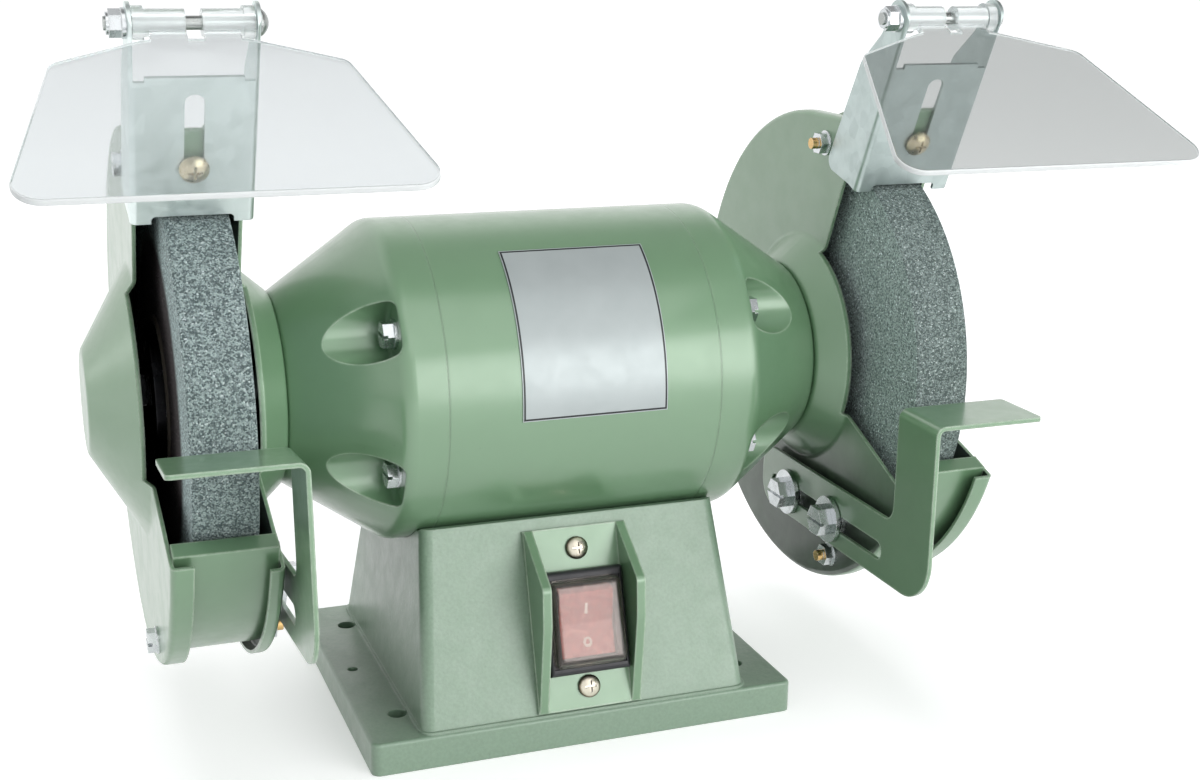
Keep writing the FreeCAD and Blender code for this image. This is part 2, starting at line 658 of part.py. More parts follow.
def end_bell():
    slope = (SHELL_R - BELL_END_R) / (BELL_END_X - BELL_LIP_X)
    drop = BELL_WALL * math.hypot(1, slope)
    hub_r = BEARING[3] + 4.5
    wall_x = BELL_END_X - 6.0

    def inside_r(x):
        return SHELL_R - drop - slope * (x - BELL_LIP_X)

    lip_x = BELL_LIP_X + (SHELL_R - drop - SPIGOT_R[0]) / slope
    profile = [(SPIGOT_X, SPIGOT_R[1], 0), (SHELL_HALF, SPIGOT_R[1], 0)] + bell_outside() + [
        (BELL_END_X, 9.5, 0), (BEARING_X[1] + 1.5, 9.5, 0), (BEARING_X[1] + 1.5, BEARING[3], 0),
        (BEARING_X[0] - 1, BEARING[3], 0), (BEARING_X[0] - 1, hub_r, 1.5), (wall_x, hub_r, 2),
        (wall_x, inside_r(wall_x), 2), (lip_x, SPIGOT_R[0], 0), (SPIGOT_X, SPIGOT_R[0], 0)]
    bell = turned(profile)
    envelope = turned([(SHELL_HALF, 0, 0)] + bell_outside() + [(BELL_END_X, 0, 0)])
    towers = []
    pockets = []
    for angle in bell_angles():
        y, z = polar(POCKET_RADIAL, angle)
        wall = x_rod(POCKET_R + 3.6, (POCKET_FLOOR_X - 4, BELL_END_X), y, z).common(envelope)
        towers.append(wall)
        pockets.append(rounded(x_rod(POCKET_R, (POCKET_FLOOR_X, BELL_END_X + 5), y, z), 2.0,
                               lambda e: e.BoundBox.XMax < POCKET_FLOOR_X + 0.1))
        y, z = polar(BELL_SCREW_RADIAL, angle)
        towers.append(x_rod(4.3, (SPIGOT_X, POCKET_FLOOR_X - 2), y, z))
        pockets.append(x_rod(M5_R + SCREW_GAP, (SPIGOT_X - 1, POCKET_FLOOR_X + 1), y, z))
    for k in range(3):
        y, z = polar(GUARD_SCREW_R, 90 + 120 * k)
        towers.append(x_rod(4.8, (wall_x - 6, wall_x + 1), y, z))
        pockets.append(x_rod(M5_R + SCREW_GAP, (BELL_END_X - 11, BELL_END_X + 1), y, z))
    return joined([bell] + towers).cut(pockets)


def end_bell_screws():
    """M5 screws with slotted hexagon heads, sunk in the pockets of the bells."""
    screws = []
    top = POCKET_FLOOR_X + 4.6
    for angle in bell_angles():
        y, z = polar(BELL_SCREW_RADIAL, angle)
        washer = x_rod(5.0, (POCKET_FLOOR_X, POCKET_FLOOR_X + 1), y, z)
        head = slotted(hexagon(8.0, (POCKET_FLOOR_X + 1, top), y, z), top, y, z)
        screw = joined([head, washer, x_rod(M5_R, (30, POCKET_FLOOR_X + 1.5), y, z)])
        screws += [screw, mirrored(screw)]
    return on_shaft(grouped(screws))


def rating_plate():
    """Thin curved plate on the front of the shell, its corners rounded."""
    low, high = -3.6, 58.9
    curved = x_ring(SHELL_R + 0.45, SHELL_R, (-23.2, 27.6))
    sector = [(0, 0, 0)]
    for angle in (180 - low, 180 - (low + high) / 2, 180 - high):
        sector.append((*polar(3 * SHELL_R, angle), 0))
    return on_shaft(curved.common(slab(sector, (-40, 40))))


def stator_core():
    """Laminated ring with its winding slots open to the bore."""
    ring = x_ring(SHELL_BORE_R, STATOR_BORE_R, (-STACK_HALF, STACK_HALF))
    slots = []
    for k in range(12):
        slot = slab([(35, -3.2, 2), (35, 3.2, 2), (29, 1.2, 0), (29, -1.2, 0)],
                    (-STACK_HALF - 1, STACK_HALF + 1))
        slots.append(turned_about(slot, 30 * k + 15))
    return on_shaft(ring.cut(slots))


def stator_windings():
    inner, outer = WINDING_R
    profile = [(STACK_HALF, inner, 1), (WINDING_X, inner, 4), (WINDING_X, outer, 4),
               (STACK_HALF, outer, 1)]
    return on_shaft(both_sides(turned(profile)))


# ---- spindle ----
FLANGE_IN_X = 106.8
FLANGE_T = 4.0
BLOTTER_T = 0.8
FLANGE_R = 25.0
NUT_T = 10.0
THREAD_R = 6.0
SHAFT_END_X = 148.0


def motor_shaft():
    """Stepped shaft: rotor seat, bearing seats, wheel seats and threaded ends."""
    flange_out = WHEEL_X + WHEEL_W / 2 + BLOTTER_T
    steps = [(0, 0, 0), (0, 9.0, 0), (BEARING_X[0], 9.0, 0), (BEARING_X[0], BEARING[0], 0),
             (FLANGE_IN_X, BEARING[0], 0), (FLANGE_IN_X, WHEEL_BORE_R, 0),
             (flange_out, WHEEL_BORE_R, 0), (flange_out, THREAD_R, 0),
             (SHAFT_END_X - 1, THREAD_R, 0), (SHAFT_END_X, THREAD_R - 1, 0), (SHAFT_END_X, 0, 0)]
    half = turned(steps)
    return on_shaft(joined([half, mirrored(half)]))


def rotor_core():
    return on_shaft(x_ring(ROTOR_R, 9.0, (-STACK_HALF, STACK_HALF)))


def rotor_end_rings():
    """Cast end rings of the squirrel cage, each with its fan blades."""
    ring = x_ring(28.5, 18.0, (STACK_HALF, STACK_HALF + 6))
    blades = []
    for k in range(8):
        blade = box((STACK_HALF + 5, STACK_HALF + 14), (19, 28), (-0.9, 0.9))
        blades.append(turned_about(blade, 45 * k))
    return on_shaft(both_sides(joined([ring] + blades)))


def bearing_inner_rings():
    return on_shaft(both_sides(x_ring(BEARING[1], BEARING[0], BEARING_X)))


def bearing_outer_rings():
    """Outer races with the two thin seals that close a sealed bearing."""
    race = x_ring(BEARING[3], BEARING[2], BEARING_X)
    seals = [x_ring(BEARING[2] + 0.2, BEARING[1] + 0.1, (x, x + 0.8))
             for x in (BEARING_X[0], BEARING_X[1] - 0.8)]
    return on_shaft(both_sides(joined([race] + seals)))


def bearing_wave_washer():
    span = (BEARING_X[1] + 0.1, BEARING_X[1] + 1.3)
    return on_shaft(x_ring(BEARING[3] - 0.4, BEARING[3] - 4, span))


def wheel_flange(seat_x, direction):
    """Dished wheel flange: it bears on the wheel only with its outer ring."""
    seat, back = seat_x, seat_x - direction * FLANGE_T
    relief = seat_x - direction * 1.0
    return turned([(back, WHEEL_BORE_R, 0), (back, FLANGE_R, 1.2), (seat, FLANGE_R, 0),
                   (seat, FLANGE_R - 7, 0), (relief, FLANGE_R - 7.5, 0), (relief, WHEEL_BORE_R, 0)])


def inner_wheel_flanges():
    return on_shaft(both_sides(wheel_flange(FLANGE_IN_X + FLANGE_T, 1)))


def outer_wheel_flanges():
    seat = WHEEL_X + WHEEL_W / 2 + BLOTTER_T
    return on_shaft(both_sides(wheel_flange(seat, -1)))


def wheel_blotters():
    blotters = []
    for x in (WHEEL_X - WHEEL_W / 2 - BLOTTER_T, WHEEL_X + WHEEL_W / 2):
        blotters.append(x_ring(FLANGE_R + 2, WHEEL_BORE_R, (x, x + BLOTTER_T)))
    return on_shaft(grouped(blotters + [mirrored(blotter) for blotter in blotters]))


def grinding_wheel():
    """Straight wheel with slightly worn edges."""
    near, far = WHEEL_X - WHEEL_W / 2, WHEEL_X + WHEEL_W / 2
    return turned([(near, WHEEL_BORE_R, 0), (near, WHEEL_R, 0.8), (far, WHEEL_R, 0.8),
                   (far, WHEEL_BORE_R, 0)])


def spindle_nuts():
    start = WHEEL_X + WHEEL_W / 2 + BLOTTER_T + FLANGE_T
    nut = hexagon(18.0, (start, start + NUT_T)).cut(x_rod(THREAD_R, (start - 1, start + 20)))
    crown = turned([(start, 0, 0), (start, 10.4, 0.8), (start + NUT_T, 10.4, 1.2),
                    (start + NUT_T, 0, 0)])
    return on_shaft(both_sides(nut.common(crown)))


# ---- guards ----
def lean_point(depth, height):
    """(y, z) about the shaft of a point given in the bracket's frame."""
    lean = math.radians(BRACKET_LEAN)
    return (BRACKET_FOOT[0] + depth * math.cos(lean) - height * math.sin(lean),
            BRACKET_FOOT[1] + depth * math.sin(lean) + height * math.cos(lean))


def mouth(x, rim_z):
    """Prism that opens the front of a guard: along the back of the pad, round the hub
    and out below."""
    top = lean_point(PAD[1], 40)
    before = [(MOUTH_RIM_Y, rim_z), (-110, top[1]), top, lean_point(PAD[1], 4.5), MOUTH_TOP,
              MOUTH_UPPER]
    points = [vec(x[0], y, z) for y, z in [MOUTH_LOWER] + before]
    edges = [Part.makeLine(start, end) for start, end in zip(points, points[1:])]
    bow = vec(x[0], *polar(MOUTH_R, MOUTH_BOW))
    edges.append(Part.Arc(points[-1], bow, points[0]).toShape())
    return Part.Face(Part.Wire(edges)).extrude(vec(x[1] - x[0], 0, 0))


def guard_plate(path, face_x, rim_x, mouth_z):
    """Turned sheet with a rim, its top carried forward as a square horn, mouth cut out."""
    inward = math.copysign(1, rim_x - face_x)
    # the sheet's second face lies to the right of the path, towards the wheel
    if inward < 0:
        path = path[::-1]
    disc = turned(sheet_outline(path, SHEET))
    hollow = sorted((face_x + inward * SHEET, rim_x + inward))
    clear = box(hollow, (-HORN_REACH, 0), (HORN_FOOT_Z, GUARD_R + 1))
    rim = [(face_x, HORN_FOOT_Z, 0), (face_x, GUARD_R, BEND_R), (rim_x, GUARD_R, 0)]
    if inward < 0:
        rim = rim[::-1]
    horn = plate(sheet_outline(rim, SHEET), (-HORN_REACH, 0))
    body = joined([disc.cut(clear), horn])
    return body.cut(mouth((BELL_END_X - 5, COVER_NOSE_X + 5), mouth_z))


def bolt_holes(x):
    return [x_rod(M4_R + SCREW_GAP, x, y, z) for y, z in COVER_BOLTS]


def inner_guard():
    """Pan: dished seat on the bell, flat wall, rolled rim."""
    rim_x = PAN_X + PAN_RIM
    path = [(BELL_END_X, PAN_HOLE_R, 0), (BELL_END_X, PAN_DISH[0], BEND_R),
            (PAN_X, PAN_DISH[1], BEND_R), (PAN_X, GUARD_R, BEND_R), (rim_x, GUARD_R, 0)]
    span = (BELL_END_X - 1, rim_x)
    holes = bolt_holes(span)
    holes += [x_rod(M5_R + SCREW_GAP, span, *polar(GUARD_SCREW_R, 90 + 120 * k)) for k in range(3)]
    return guard_plate(path, PAN_X, rim_x, PAN_MOUTH_Z).cut(holes)


def inner_guards():
    """Both pans, each with the two holes for its own tool rest's bosses."""
    pieces = {}
    span = (PAN_X - 1, PAN_X + SHEET + 1)
    for name, side in (("inner_guard_right", 1), ("inner_guard_left", -1)):
        pan = on_shaft(inner_guard() if side > 0 else mirrored(inner_guard()))
        holes = [rest_adjusted(x_rod(REST_BOSS_R + SCREW_GAP, span, y, REST_SLOT[1]), side)
                 for y in REST_BOLTS]
        pieces[name] = pan.cut(holes)
    return pieces


def outer_cover():
    """Cover: closed dish over the spindle nut, flat wall, rolled rim."""
    rim_x = COVER_X - COVER_RIM
    path = [(COVER_NOSE_X, 0, 0), (COVER_NOSE_X, COVER_DISH[0], 4),
            (COVER_X, COVER_DISH[1], 3), (COVER_X, GUARD_R, BEND_R), (rim_x, GUARD_R, 0)]
    cover = guard_plate(path, COVER_X, rim_x, COVER_MOUTH_Z)
    return cover.cut(bolt_holes((rim_x, COVER_X + 1)))


def spark_band():
    """Band between pan and cover: lip at the lower front, round the wheel, pad on top."""
    span = (PAN_X + SHEET, COVER_X - SHEET)
    ring = x_ring(BAND_R, BAND_R - SHEET, span)
    middle = (PAD[0] + PAD[1]) / 2
    front = sharp([(0, 0), lean_point(middle, PAD[2] - 4), lean_point(middle, 60), (-150, 140),
                   polar(160, BAND_END)])
    band = ring.cut(slab(front, (span[0] - 1, span[1] + 1)))
    pad_corners = sharp([lean_point(depth, height) for depth, height in (
        (PAD[0], PAD[2]), (PAD[1], PAD[2]), (PAD[1], PAD[3]), (PAD[0], PAD[3]))])
    pad = slab(pad_corners, span)
    lip_angle = math.degrees(SHEET / BAND_R)
    lip = slab(sharp([polar(LIP_R, BAND_END), polar(BAND_R, BAND_END),
                      polar(BAND_R, BAND_END + lip_angle), polar(LIP_R, BAND_END + lip_angle)]),
               span)
    screw = y_rod(M5_R + SCREW_GAP, (-5, 10), 0, BRACKET_SCREW_Z)
    return joined([band, pad, lip]).cut(leaning(screw, BRACKET_X))


def guard_screws():
    """Three pan-head M5 screws per side that hold the pan to its bell."""
    screws = []
    seat = BELL_END_X + SHEET
    for k in range(3):
        y, z = polar(GUARD_SCREW_R, 90 + 120 * k)
        head = rounded(x_rod(4.4, (seat, seat + 3.2), y, z), 1.2,
                       lambda e: e.BoundBox.XMin > seat + 3)
        screw = joined([head, x_rod(M5_R, (BELL_END_X - 9, seat + 1), y, z)])
        screws += [screw, mirrored(screw)]
    return on_shaft(grouped(screws))


def cover_bolts():
    """Long M4 bolts through cover and pan, with slotted hexagon heads outside."""
    bolts = []
    across, head_h, _ = COVER_BOLT_HEX
    washer_r, washer_t = COVER_WASHER
    seat = COVER_X + washer_t
    for y, z in COVER_BOLTS:
        washer = x_rod(washer_r, (COVER_X, seat), y, z)
        head = slotted(hexagon(across, (seat, seat + head_h), y, z), seat + head_h, y, z)
        shank = x_rod(M4_R, (PAN_X - 6.4, COVER_X + washer_t / 2), y, z)
        bolt = joined([head, washer, shank])
        bolts += [bolt, mirrored(bolt)]
    return on_shaft(grouped(bolts))


def cover_nuts():
    nuts = []
    across, _, nut_h = COVER_BOLT_HEX
    washer_r, washer_t = COVER_WASHER
    seat = PAN_X - washer_t
    for y, z in COVER_BOLTS:
        nut = hexagon(across, (seat - nut_h, seat), y, z)
        washer = x_rod(washer_r, (seat, PAN_X), y, z)
        bore = x_rod(M4_R + SCREW_GAP / 2, (seat - nut_h - EPS, PAN_X + EPS), y, z)
        nut = joined([nut, washer]).cut(bore)
        nuts += [nut, mirrored(nut)]
    return on_shaft(grouped(nuts))


# ---- tool rests ----
def rest_adjusted(shape, side):
    """Places a piece of a tool rest: the left one is set further out and nose up."""
    if side > 0:
        return on_shaft(shape)
    middle = sum(REST_BOLTS) / 2
    return on_shaft(mirrored(turned_about(shape, LEFT_REST_TURN, middle, REST_SLOT[1])))


def tool_rest(side):
    """Slotted arm beside the wheel, with a shelf folded across its front."""
    half_width, slot_z, slot_front, slot_back = REST_SLOT
    shift = LEFT_REST_SHIFT if side < 0 else 0.0
    arm_x = (REST_X, REST_X + REST_T)
    low, high = slot_z - REST_ARM[0], slot_z + REST_ARM[1]
    arm = slab([
        (REST_FRONT, REST_TOP - 4, 0), (REST_FRONT, low, 16), (REST_TAIL, low, 9),
        (REST_TAIL, high, 9), (REST_BACK, high, 6), (REST_BACK, REST_TOP - 4, 0)], arm_x)
    fold = plate(sheet_outline(
        [(REST_X, REST_TOP - 5, 0), (REST_X, REST_TOP, 3.4), (REST_END_X, REST_TOP, 0)], REST_T),
        (REST_FRONT, REST_BACK))
    fold = rounded(fold, 1.5, lambda e: e.BoundBox.XMin > REST_END_X - 0.1 and e.BoundBox.ZLength > 1)
    slot = slab(pin_slot(half_width, (slot_front, slot_back), slot_z), (REST_X - EPS, REST_X + 4))
    rest = joined([arm, fold]).cut(slot)
    rest.translate(vec(0, shift, 0))
    return rest_adjusted(rest, side)


def rest_pieces(draw):
    """One piece per rest bolt, on both sides."""
    pieces = []
    for side in (1, -1):
        pieces += [rest_adjusted(draw(y, REST_SLOT[1]), side) for y in REST_BOLTS]
    return grouped(pieces)


WASHER_X = REST_X - RUN_GAP - REST_WASHER[1]


def tool_rest_bolts():
    across, head_h = REST_BOLT_HEX
    top = WASHER_X - head_h

    def bolt(y, z):
        head = hexagon(across, (top, WASHER_X), y, z)
        slot = box((top - EPS, top + 1.4), (y - across, y + across), (z - 0.6, z + 0.6))
        return joined([head.cut(slot), x_rod(M6_R, (WASHER_X - 1, PAN_X + 5), y, z)])
    return rest_pieces(bolt)


def tool_rest_washers():
    radius, thickness = REST_WASHER
    return rest_pieces(
        lambda y, z: x_ring(radius, M6_R + SCREW_GAP, (WASHER_X, WASHER_X + thickness), y, z))


def tool_rest_bosses():
    """Weld nuts in the pan, standing a little proud of it to carry the arm."""
    start = REST_X + REST_T + RUN_GAP
    return rest_pieces(
        lambda y, z: x_ring(REST_BOSS_R, M6_R + SCREW_GAP, (start, PAN_X + 4.2), y, z))


# ---- eye shields ----
def shield_bracket():
    """Folded channel over the horn: slotted front, two flanges rising to hinge ears."""
    inner = BRACKET_HALF - SHEET
    deep = 30.0
    ear_y, ear_z = HINGE_AT
    path = [(BRACKET_HALF, deep, 0), (BRACKET_HALF, 0, BEND_R), (-BRACKET_HALF, 0, BEND_R),
            (-BRACKET_HALF, deep, 0)]
    channel = prism(sheet_outline(path, SHEET), (-10, 80))
    side = [(-1, -2.4, 0), (5.5, -2.6, 2), (23.2, -5.9, 4), (19.7, 38.3, 8), (ear_y + EAR_R, 53, 6),
            (ear_y + EAR_R, ear_z + EAR_R, EAR_R - 0.1), (ear_y - EAR_R, ear_z + EAR_R, EAR_R - 0.1),
            (ear_y - EAR_R, BRACKET_TOP, 0), (-1, BRACKET_TOP, 0)]
    channel = channel.common(slab(side, (-BRACKET_HALF, BRACKET_HALF)))
    foot_x = BRACKET_HALF - 6.2
    arch = plate([(-foot_x, -9, 0), (-foot_x, 0.2, 1.4), (foot_x, 0.2, 1.4), (foot_x, -9, 0)],
                 (-1, SHEET + 1))
    above = box((-inner, inner), (-1, deep), (BRACKET_TOP, 90))
    half_width, low, high = BRACKET_SLOT
    slot = plate([(sx * half_width, z, half_width * 0.99) for sx, z in (
        (-1, low - half_width), (1, low - half_width), (1, high + half_width),
        (-1, high + half_width))], (-1, SHEET + 1))
    pin = x_rod(HINGE_R + 0.05, (-BRACKET_HALF - 1, BRACKET_HALF + 1), ear_y, ear_z)
    notches = [box((x - 1.6, x + 1.6), (-1, 2.6), (BRACKET_TOP - 1.5, BRACKET_TOP + 0.5))
               for x in (-inner + 1.6, inner - 1.6)]
    return channel.cut([arch, above, slot, pin] + notches)


def bracket_screw():
    """Domed cross-head screw through the bracket's slot, its nut behind the pad."""
    front = -RUN_GAP
    head = Part.makeSphere(5.6, vec(0, front + 2.6, BRACKET_SCREW_Z))
    head = head.common(y_rod(4.5, (front - 3.0, front), 0, BRACKET_SCREW_Z))
    shank = y_rod(M5_R, (front - 0.5, PAD[1] + 6), 0, BRACKET_SCREW_Z)
    nut = hexagon(8.0, (PAD[1], PAD[1] + 4))
    nut.rotate(ORIGIN, vec(0, 0, 1), 90)
    nut.translate(vec(0, 0, BRACKET_SCREW_Z))
    return joined([head, shank, nut]).cut(cross_recess(front - 3.0, BRACKET_SCREW_Z, 2.2, 1.3))


def hinge_bolt():
    """M4 bolt through both ears, domed head at the +X end."""
    ear_y, ear_z = HINGE_AT
    face = BRACKET_HALF
    shank = x_rod(HINGE_R, (-face - 6.0, face + 0.5), ear_y, ear_z)
    head = Part.makeSphere(4.6, vec(face - 1.8, ear_y, ear_z))
    head = head.common(x_rod(3.9, (face, face + 2.8), ear_y, ear_z))
    recess = [box((face + 1.9, face + 3.2), (ear_y - a, ear_y + a), (ear_z - b, ear_z + b))
              for a, b in ((1.8, 0.35), (0.35, 1.8))]
    return joined([shank, head]).cut(recess)


def hinge_nut():
    """Fibre washer and lock nut at the -X end."""
    ear_y, ear_z = HINGE_AT
    face = -BRACKET_HALF
    washer = x_rod(4.4, (face - 1.2, face), ear_y, ear_z)
    nut = hexagon(7.0, (face - 4.6, face - 1.2), ear_y, ear_z)
    collar = x_rod(3.2, (face - 5.4, face - 1.2), ear_y, ear_z)
    return joined([washer, nut, collar]).cut(x_rod(HINGE_R, (face - 7, face + 1), ear_y, ear_z))


def eye_shield(side):
    """Clear shield: flared plate with two hinge barrels along its upper edge.
    Drawn about the hinge axis with the plate hanging down, outer side towards -Y."""
    face = (0, SHIELD_T)
    right = [(14.0, -SHIELD_TOP, 14), (SHIELD_SHOULDER[0], -SHIELD_SHOULDER[1], 5),
             (SHIELD_HALF, -SHIELD_DROP, 7.5)]
    left = [(-x, z, radius) for x, z, radius in right[::-1]]
    body = plate(left + right, face)
    body = rounded(body, 0.6, lambda e: e.BoundBox.YLength < 0.01)
    room = BRACKET_HALF - SHEET - RUN_GAP
    barrels = []
    for end in (-1, 1):
        barrels.append(x_rod(BARREL_R, sorted((end * BARREL_IN, end * room))))
        barrels.append(x_rod(COLLAR_R, sorted((end * (room - COLLAR_W), end * room))))
        web = sorted((end * BARREL_IN, end * SHIELD_WEB))
        barrels.append(box(web, face, (-SHIELD_TOP - 1.5, 0)))
    shield = joined([body] + barrels).cut(x_rod(HINGE_R + 0.08, (-30, 30)))
    shield.rotate(ORIGIN, X_AXIS, -SHIELD_TILT[side])
    return shield


def placed_shield(side):
    shield = eye_shield(side)
    shield.translate(vec(side * BRACKET_X, *lean_point(*HINGE_AT)))
    return on_shaft(shield)


# ---- writing the sub-parts ----
def sided(name, draw):
    """Left and right sub-parts of a piece drawn about the shaft on the right side."""
    right = draw()
    return {name + "_right": on_shaft(right), name + "_left": on_shaft(mirrored(right))}


def bracket_pieces():
    """Shield brackets, hinge bolts and nuts: alike on both sides, so moved, not mirrored."""
    pieces = {}
    screws = []
    for name, side in (("right", 1), ("left", -1)):
        x = side * BRACKET_X
        pieces["shield_bracket_" + name] = on_shaft(leaning(shield_bracket(), x))
        pieces["hinge_bolt_" + name] = on_shaft(leaning(hinge_bolt(), x))
        pieces["hinge_nut_" + name] = on_shaft(leaning(hinge_nut(), x))
        pieces["eye_shield_" + name] = placed_shield(side)
        screws.append(on_shaft(leaning(bracket_screw(), x)))
    pieces["bracket_screws"] = grouped(screws)
    return pieces


def all_pieces():
    singles = [
        base_casting, base_cover_plate, base_cover_screws, motor_mount_screws, run_capacitor,
        capacitor_clamp, terminal_block, cable_gland, cable_gland_nut, switch_plate,
        switch_plate_screws, switch_housing, switch_rocker, switch_boot, motor_shell,
        end_bell_screws, rating_plate, stator_core, stator_windings, motor_shaft, rotor_core,
        rotor_end_rings, bearing_inner_rings, bearing_outer_rings, bearing_wave_washer,
        inner_wheel_flanges, outer_wheel_flanges, wheel_blotters, spindle_nuts, guard_screws,
        cover_bolts, cover_nuts, tool_rest_bolts, tool_rest_washers, tool_rest_bosses]
    pieces = {draw.__name__: draw() for draw in singles}
    for draw in (end_bell, outer_cover, spark_band, grinding_wheel):
        pieces.update(sided(draw.__name__, draw))
    pieces.update(inner_guards())
    pieces["tool_rest_right"] = tool_rest(1)
    pieces["tool_rest_left"] = tool_rest(-1)
    pieces.update(bracket_pieces())
    return pieces


os.makedirs("parts", exist_ok=True)
for piece_name, piece in sorted(all_pieces().items()):
    piece.exportStep(os.path.join("parts", piece_name + ".step"))
    print(piece_name, len(piece.Solids), "solid(s), valid", piece.isValid())
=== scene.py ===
import json
import math

import bmesh
import bpy
from mathutils import Matrix, Vector


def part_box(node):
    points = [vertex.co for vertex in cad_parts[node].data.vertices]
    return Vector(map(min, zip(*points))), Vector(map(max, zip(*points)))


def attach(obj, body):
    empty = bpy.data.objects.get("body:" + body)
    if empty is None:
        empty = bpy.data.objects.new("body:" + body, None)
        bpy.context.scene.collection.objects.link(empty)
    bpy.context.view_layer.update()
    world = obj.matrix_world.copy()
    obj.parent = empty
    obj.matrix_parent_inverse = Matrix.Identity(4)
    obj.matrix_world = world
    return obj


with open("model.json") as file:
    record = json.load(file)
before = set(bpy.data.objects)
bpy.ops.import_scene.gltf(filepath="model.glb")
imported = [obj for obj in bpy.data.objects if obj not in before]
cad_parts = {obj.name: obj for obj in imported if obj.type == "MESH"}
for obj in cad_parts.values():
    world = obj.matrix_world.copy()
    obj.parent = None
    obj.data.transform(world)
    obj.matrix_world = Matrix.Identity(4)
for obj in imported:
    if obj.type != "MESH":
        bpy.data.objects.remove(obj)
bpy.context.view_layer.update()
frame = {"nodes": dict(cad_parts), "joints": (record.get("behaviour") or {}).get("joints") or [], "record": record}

NODES = frame["nodes"]
SLOTS = {part["node"]: part["material_slot"] for part in frame["record"]["subparts"]}
MM = 0.001


def joint_place(name):
    """Place of a joint in mm."""
    return next(Vector(joint["pos_m"]) / MM for joint in frame["joints"] if joint["name"] == name)


def node_box(name):
    """Lowest and highest corners of a node in mm."""
    return [Vector(corner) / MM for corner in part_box(name)]


# ---- places on the object, in mm; what is said of the right side holds for the left ----
SHAFT_Z = joint_place("spindle_spin").z
SHIELD_HINGE = joint_place("shield_tilt_right")
ROCKER_PINS = joint_place("rocker_tilt")
SHELL_R = node_box("motor_shell")[1].z - SHAFT_Z
WHEEL_INNER, WHEEL_OUTER = (corner.x for corner in node_box("grinding_wheel_right"))
PAN_FACE, COVER_FACE = (corner.x for corner in node_box("spark_band_right"))
BAND_INSIDE_R = 78.3            # beyond it, faces that look at the spindle line the band
TAPER_X = 61.75                 # beyond it the end bells taper
SADDLE_Z = 74.0                 # the motor is above it, the pedestal below
SHADE_TOP, SHADE_FULL = 104.0, 70.0    # heights between which painted shade darkens downwards on the pans' motor side
SHADOW_PAPER_R = 54.0                  # dark paper that is a painted shadow, on a wheel's outer side
BOLT_TIPS_X = 101.65            # the tips of the cover bolts begin here, behind their nuts
BOLT_RING = (76.85, 83.0)       # distances from the spindle between which those bolts lie
FLANGES_R = 47.5                # the wheel flanges and spindle nuts lie within it
HINGE_BOLTS_Z = 232.0           # above it a yellow zinc bolt belongs to a shield
SWITCH_SCREWS_Z = 95.0          # below it, to the switch plate
BOOT_HALF = (13.1, 15.0)        # half width and half length, up the slope, of the switch's boot
SLOPE_LEAN = math.atan2(20.2, 64.4)  # the pedestal's front wall, from upright
SLOPE_UP = Vector((0.0, math.sin(SLOPE_LEAN), math.cos(SLOPE_LEAN)))
SLOPE_IN = Vector((0.0, math.cos(SLOPE_LEAN), -math.sin(SLOPE_LEAN)))
SHIELD_LEAN = math.radians(61.5)     # the eye shields, from upright
SHIELD_FACE = Vector((0.0, -math.cos(SHIELD_LEAN), math.sin(SHIELD_LEAN)))


# ---- colours ----
def srgb(red, green, blue):
    """Linear colour of an 8-bit sRGB one."""
    def linear(value):
        value /= 255
        return value / 12.92 if value <= 0.04045 else ((value + 0.055) / 1.055) ** 2.4
    return (linear(red), linear(green), linear(blue), 1.0)


def toned(colour, gain, lift=0.0):
    """That colour times gain, plus lift."""
    return [min(1.0, gain * part + lift) for part in colour[:3]] + [1.0]


WHITE = (1.0, 1.0, 1.0, 1.0)
SAGE = srgb(92, 125, 93)
# pale edge colour of the enamel: worn enamel and a painted highlight
SAGE_WORN_AND_HIGHLIGHT = srgb(188, 206, 184)


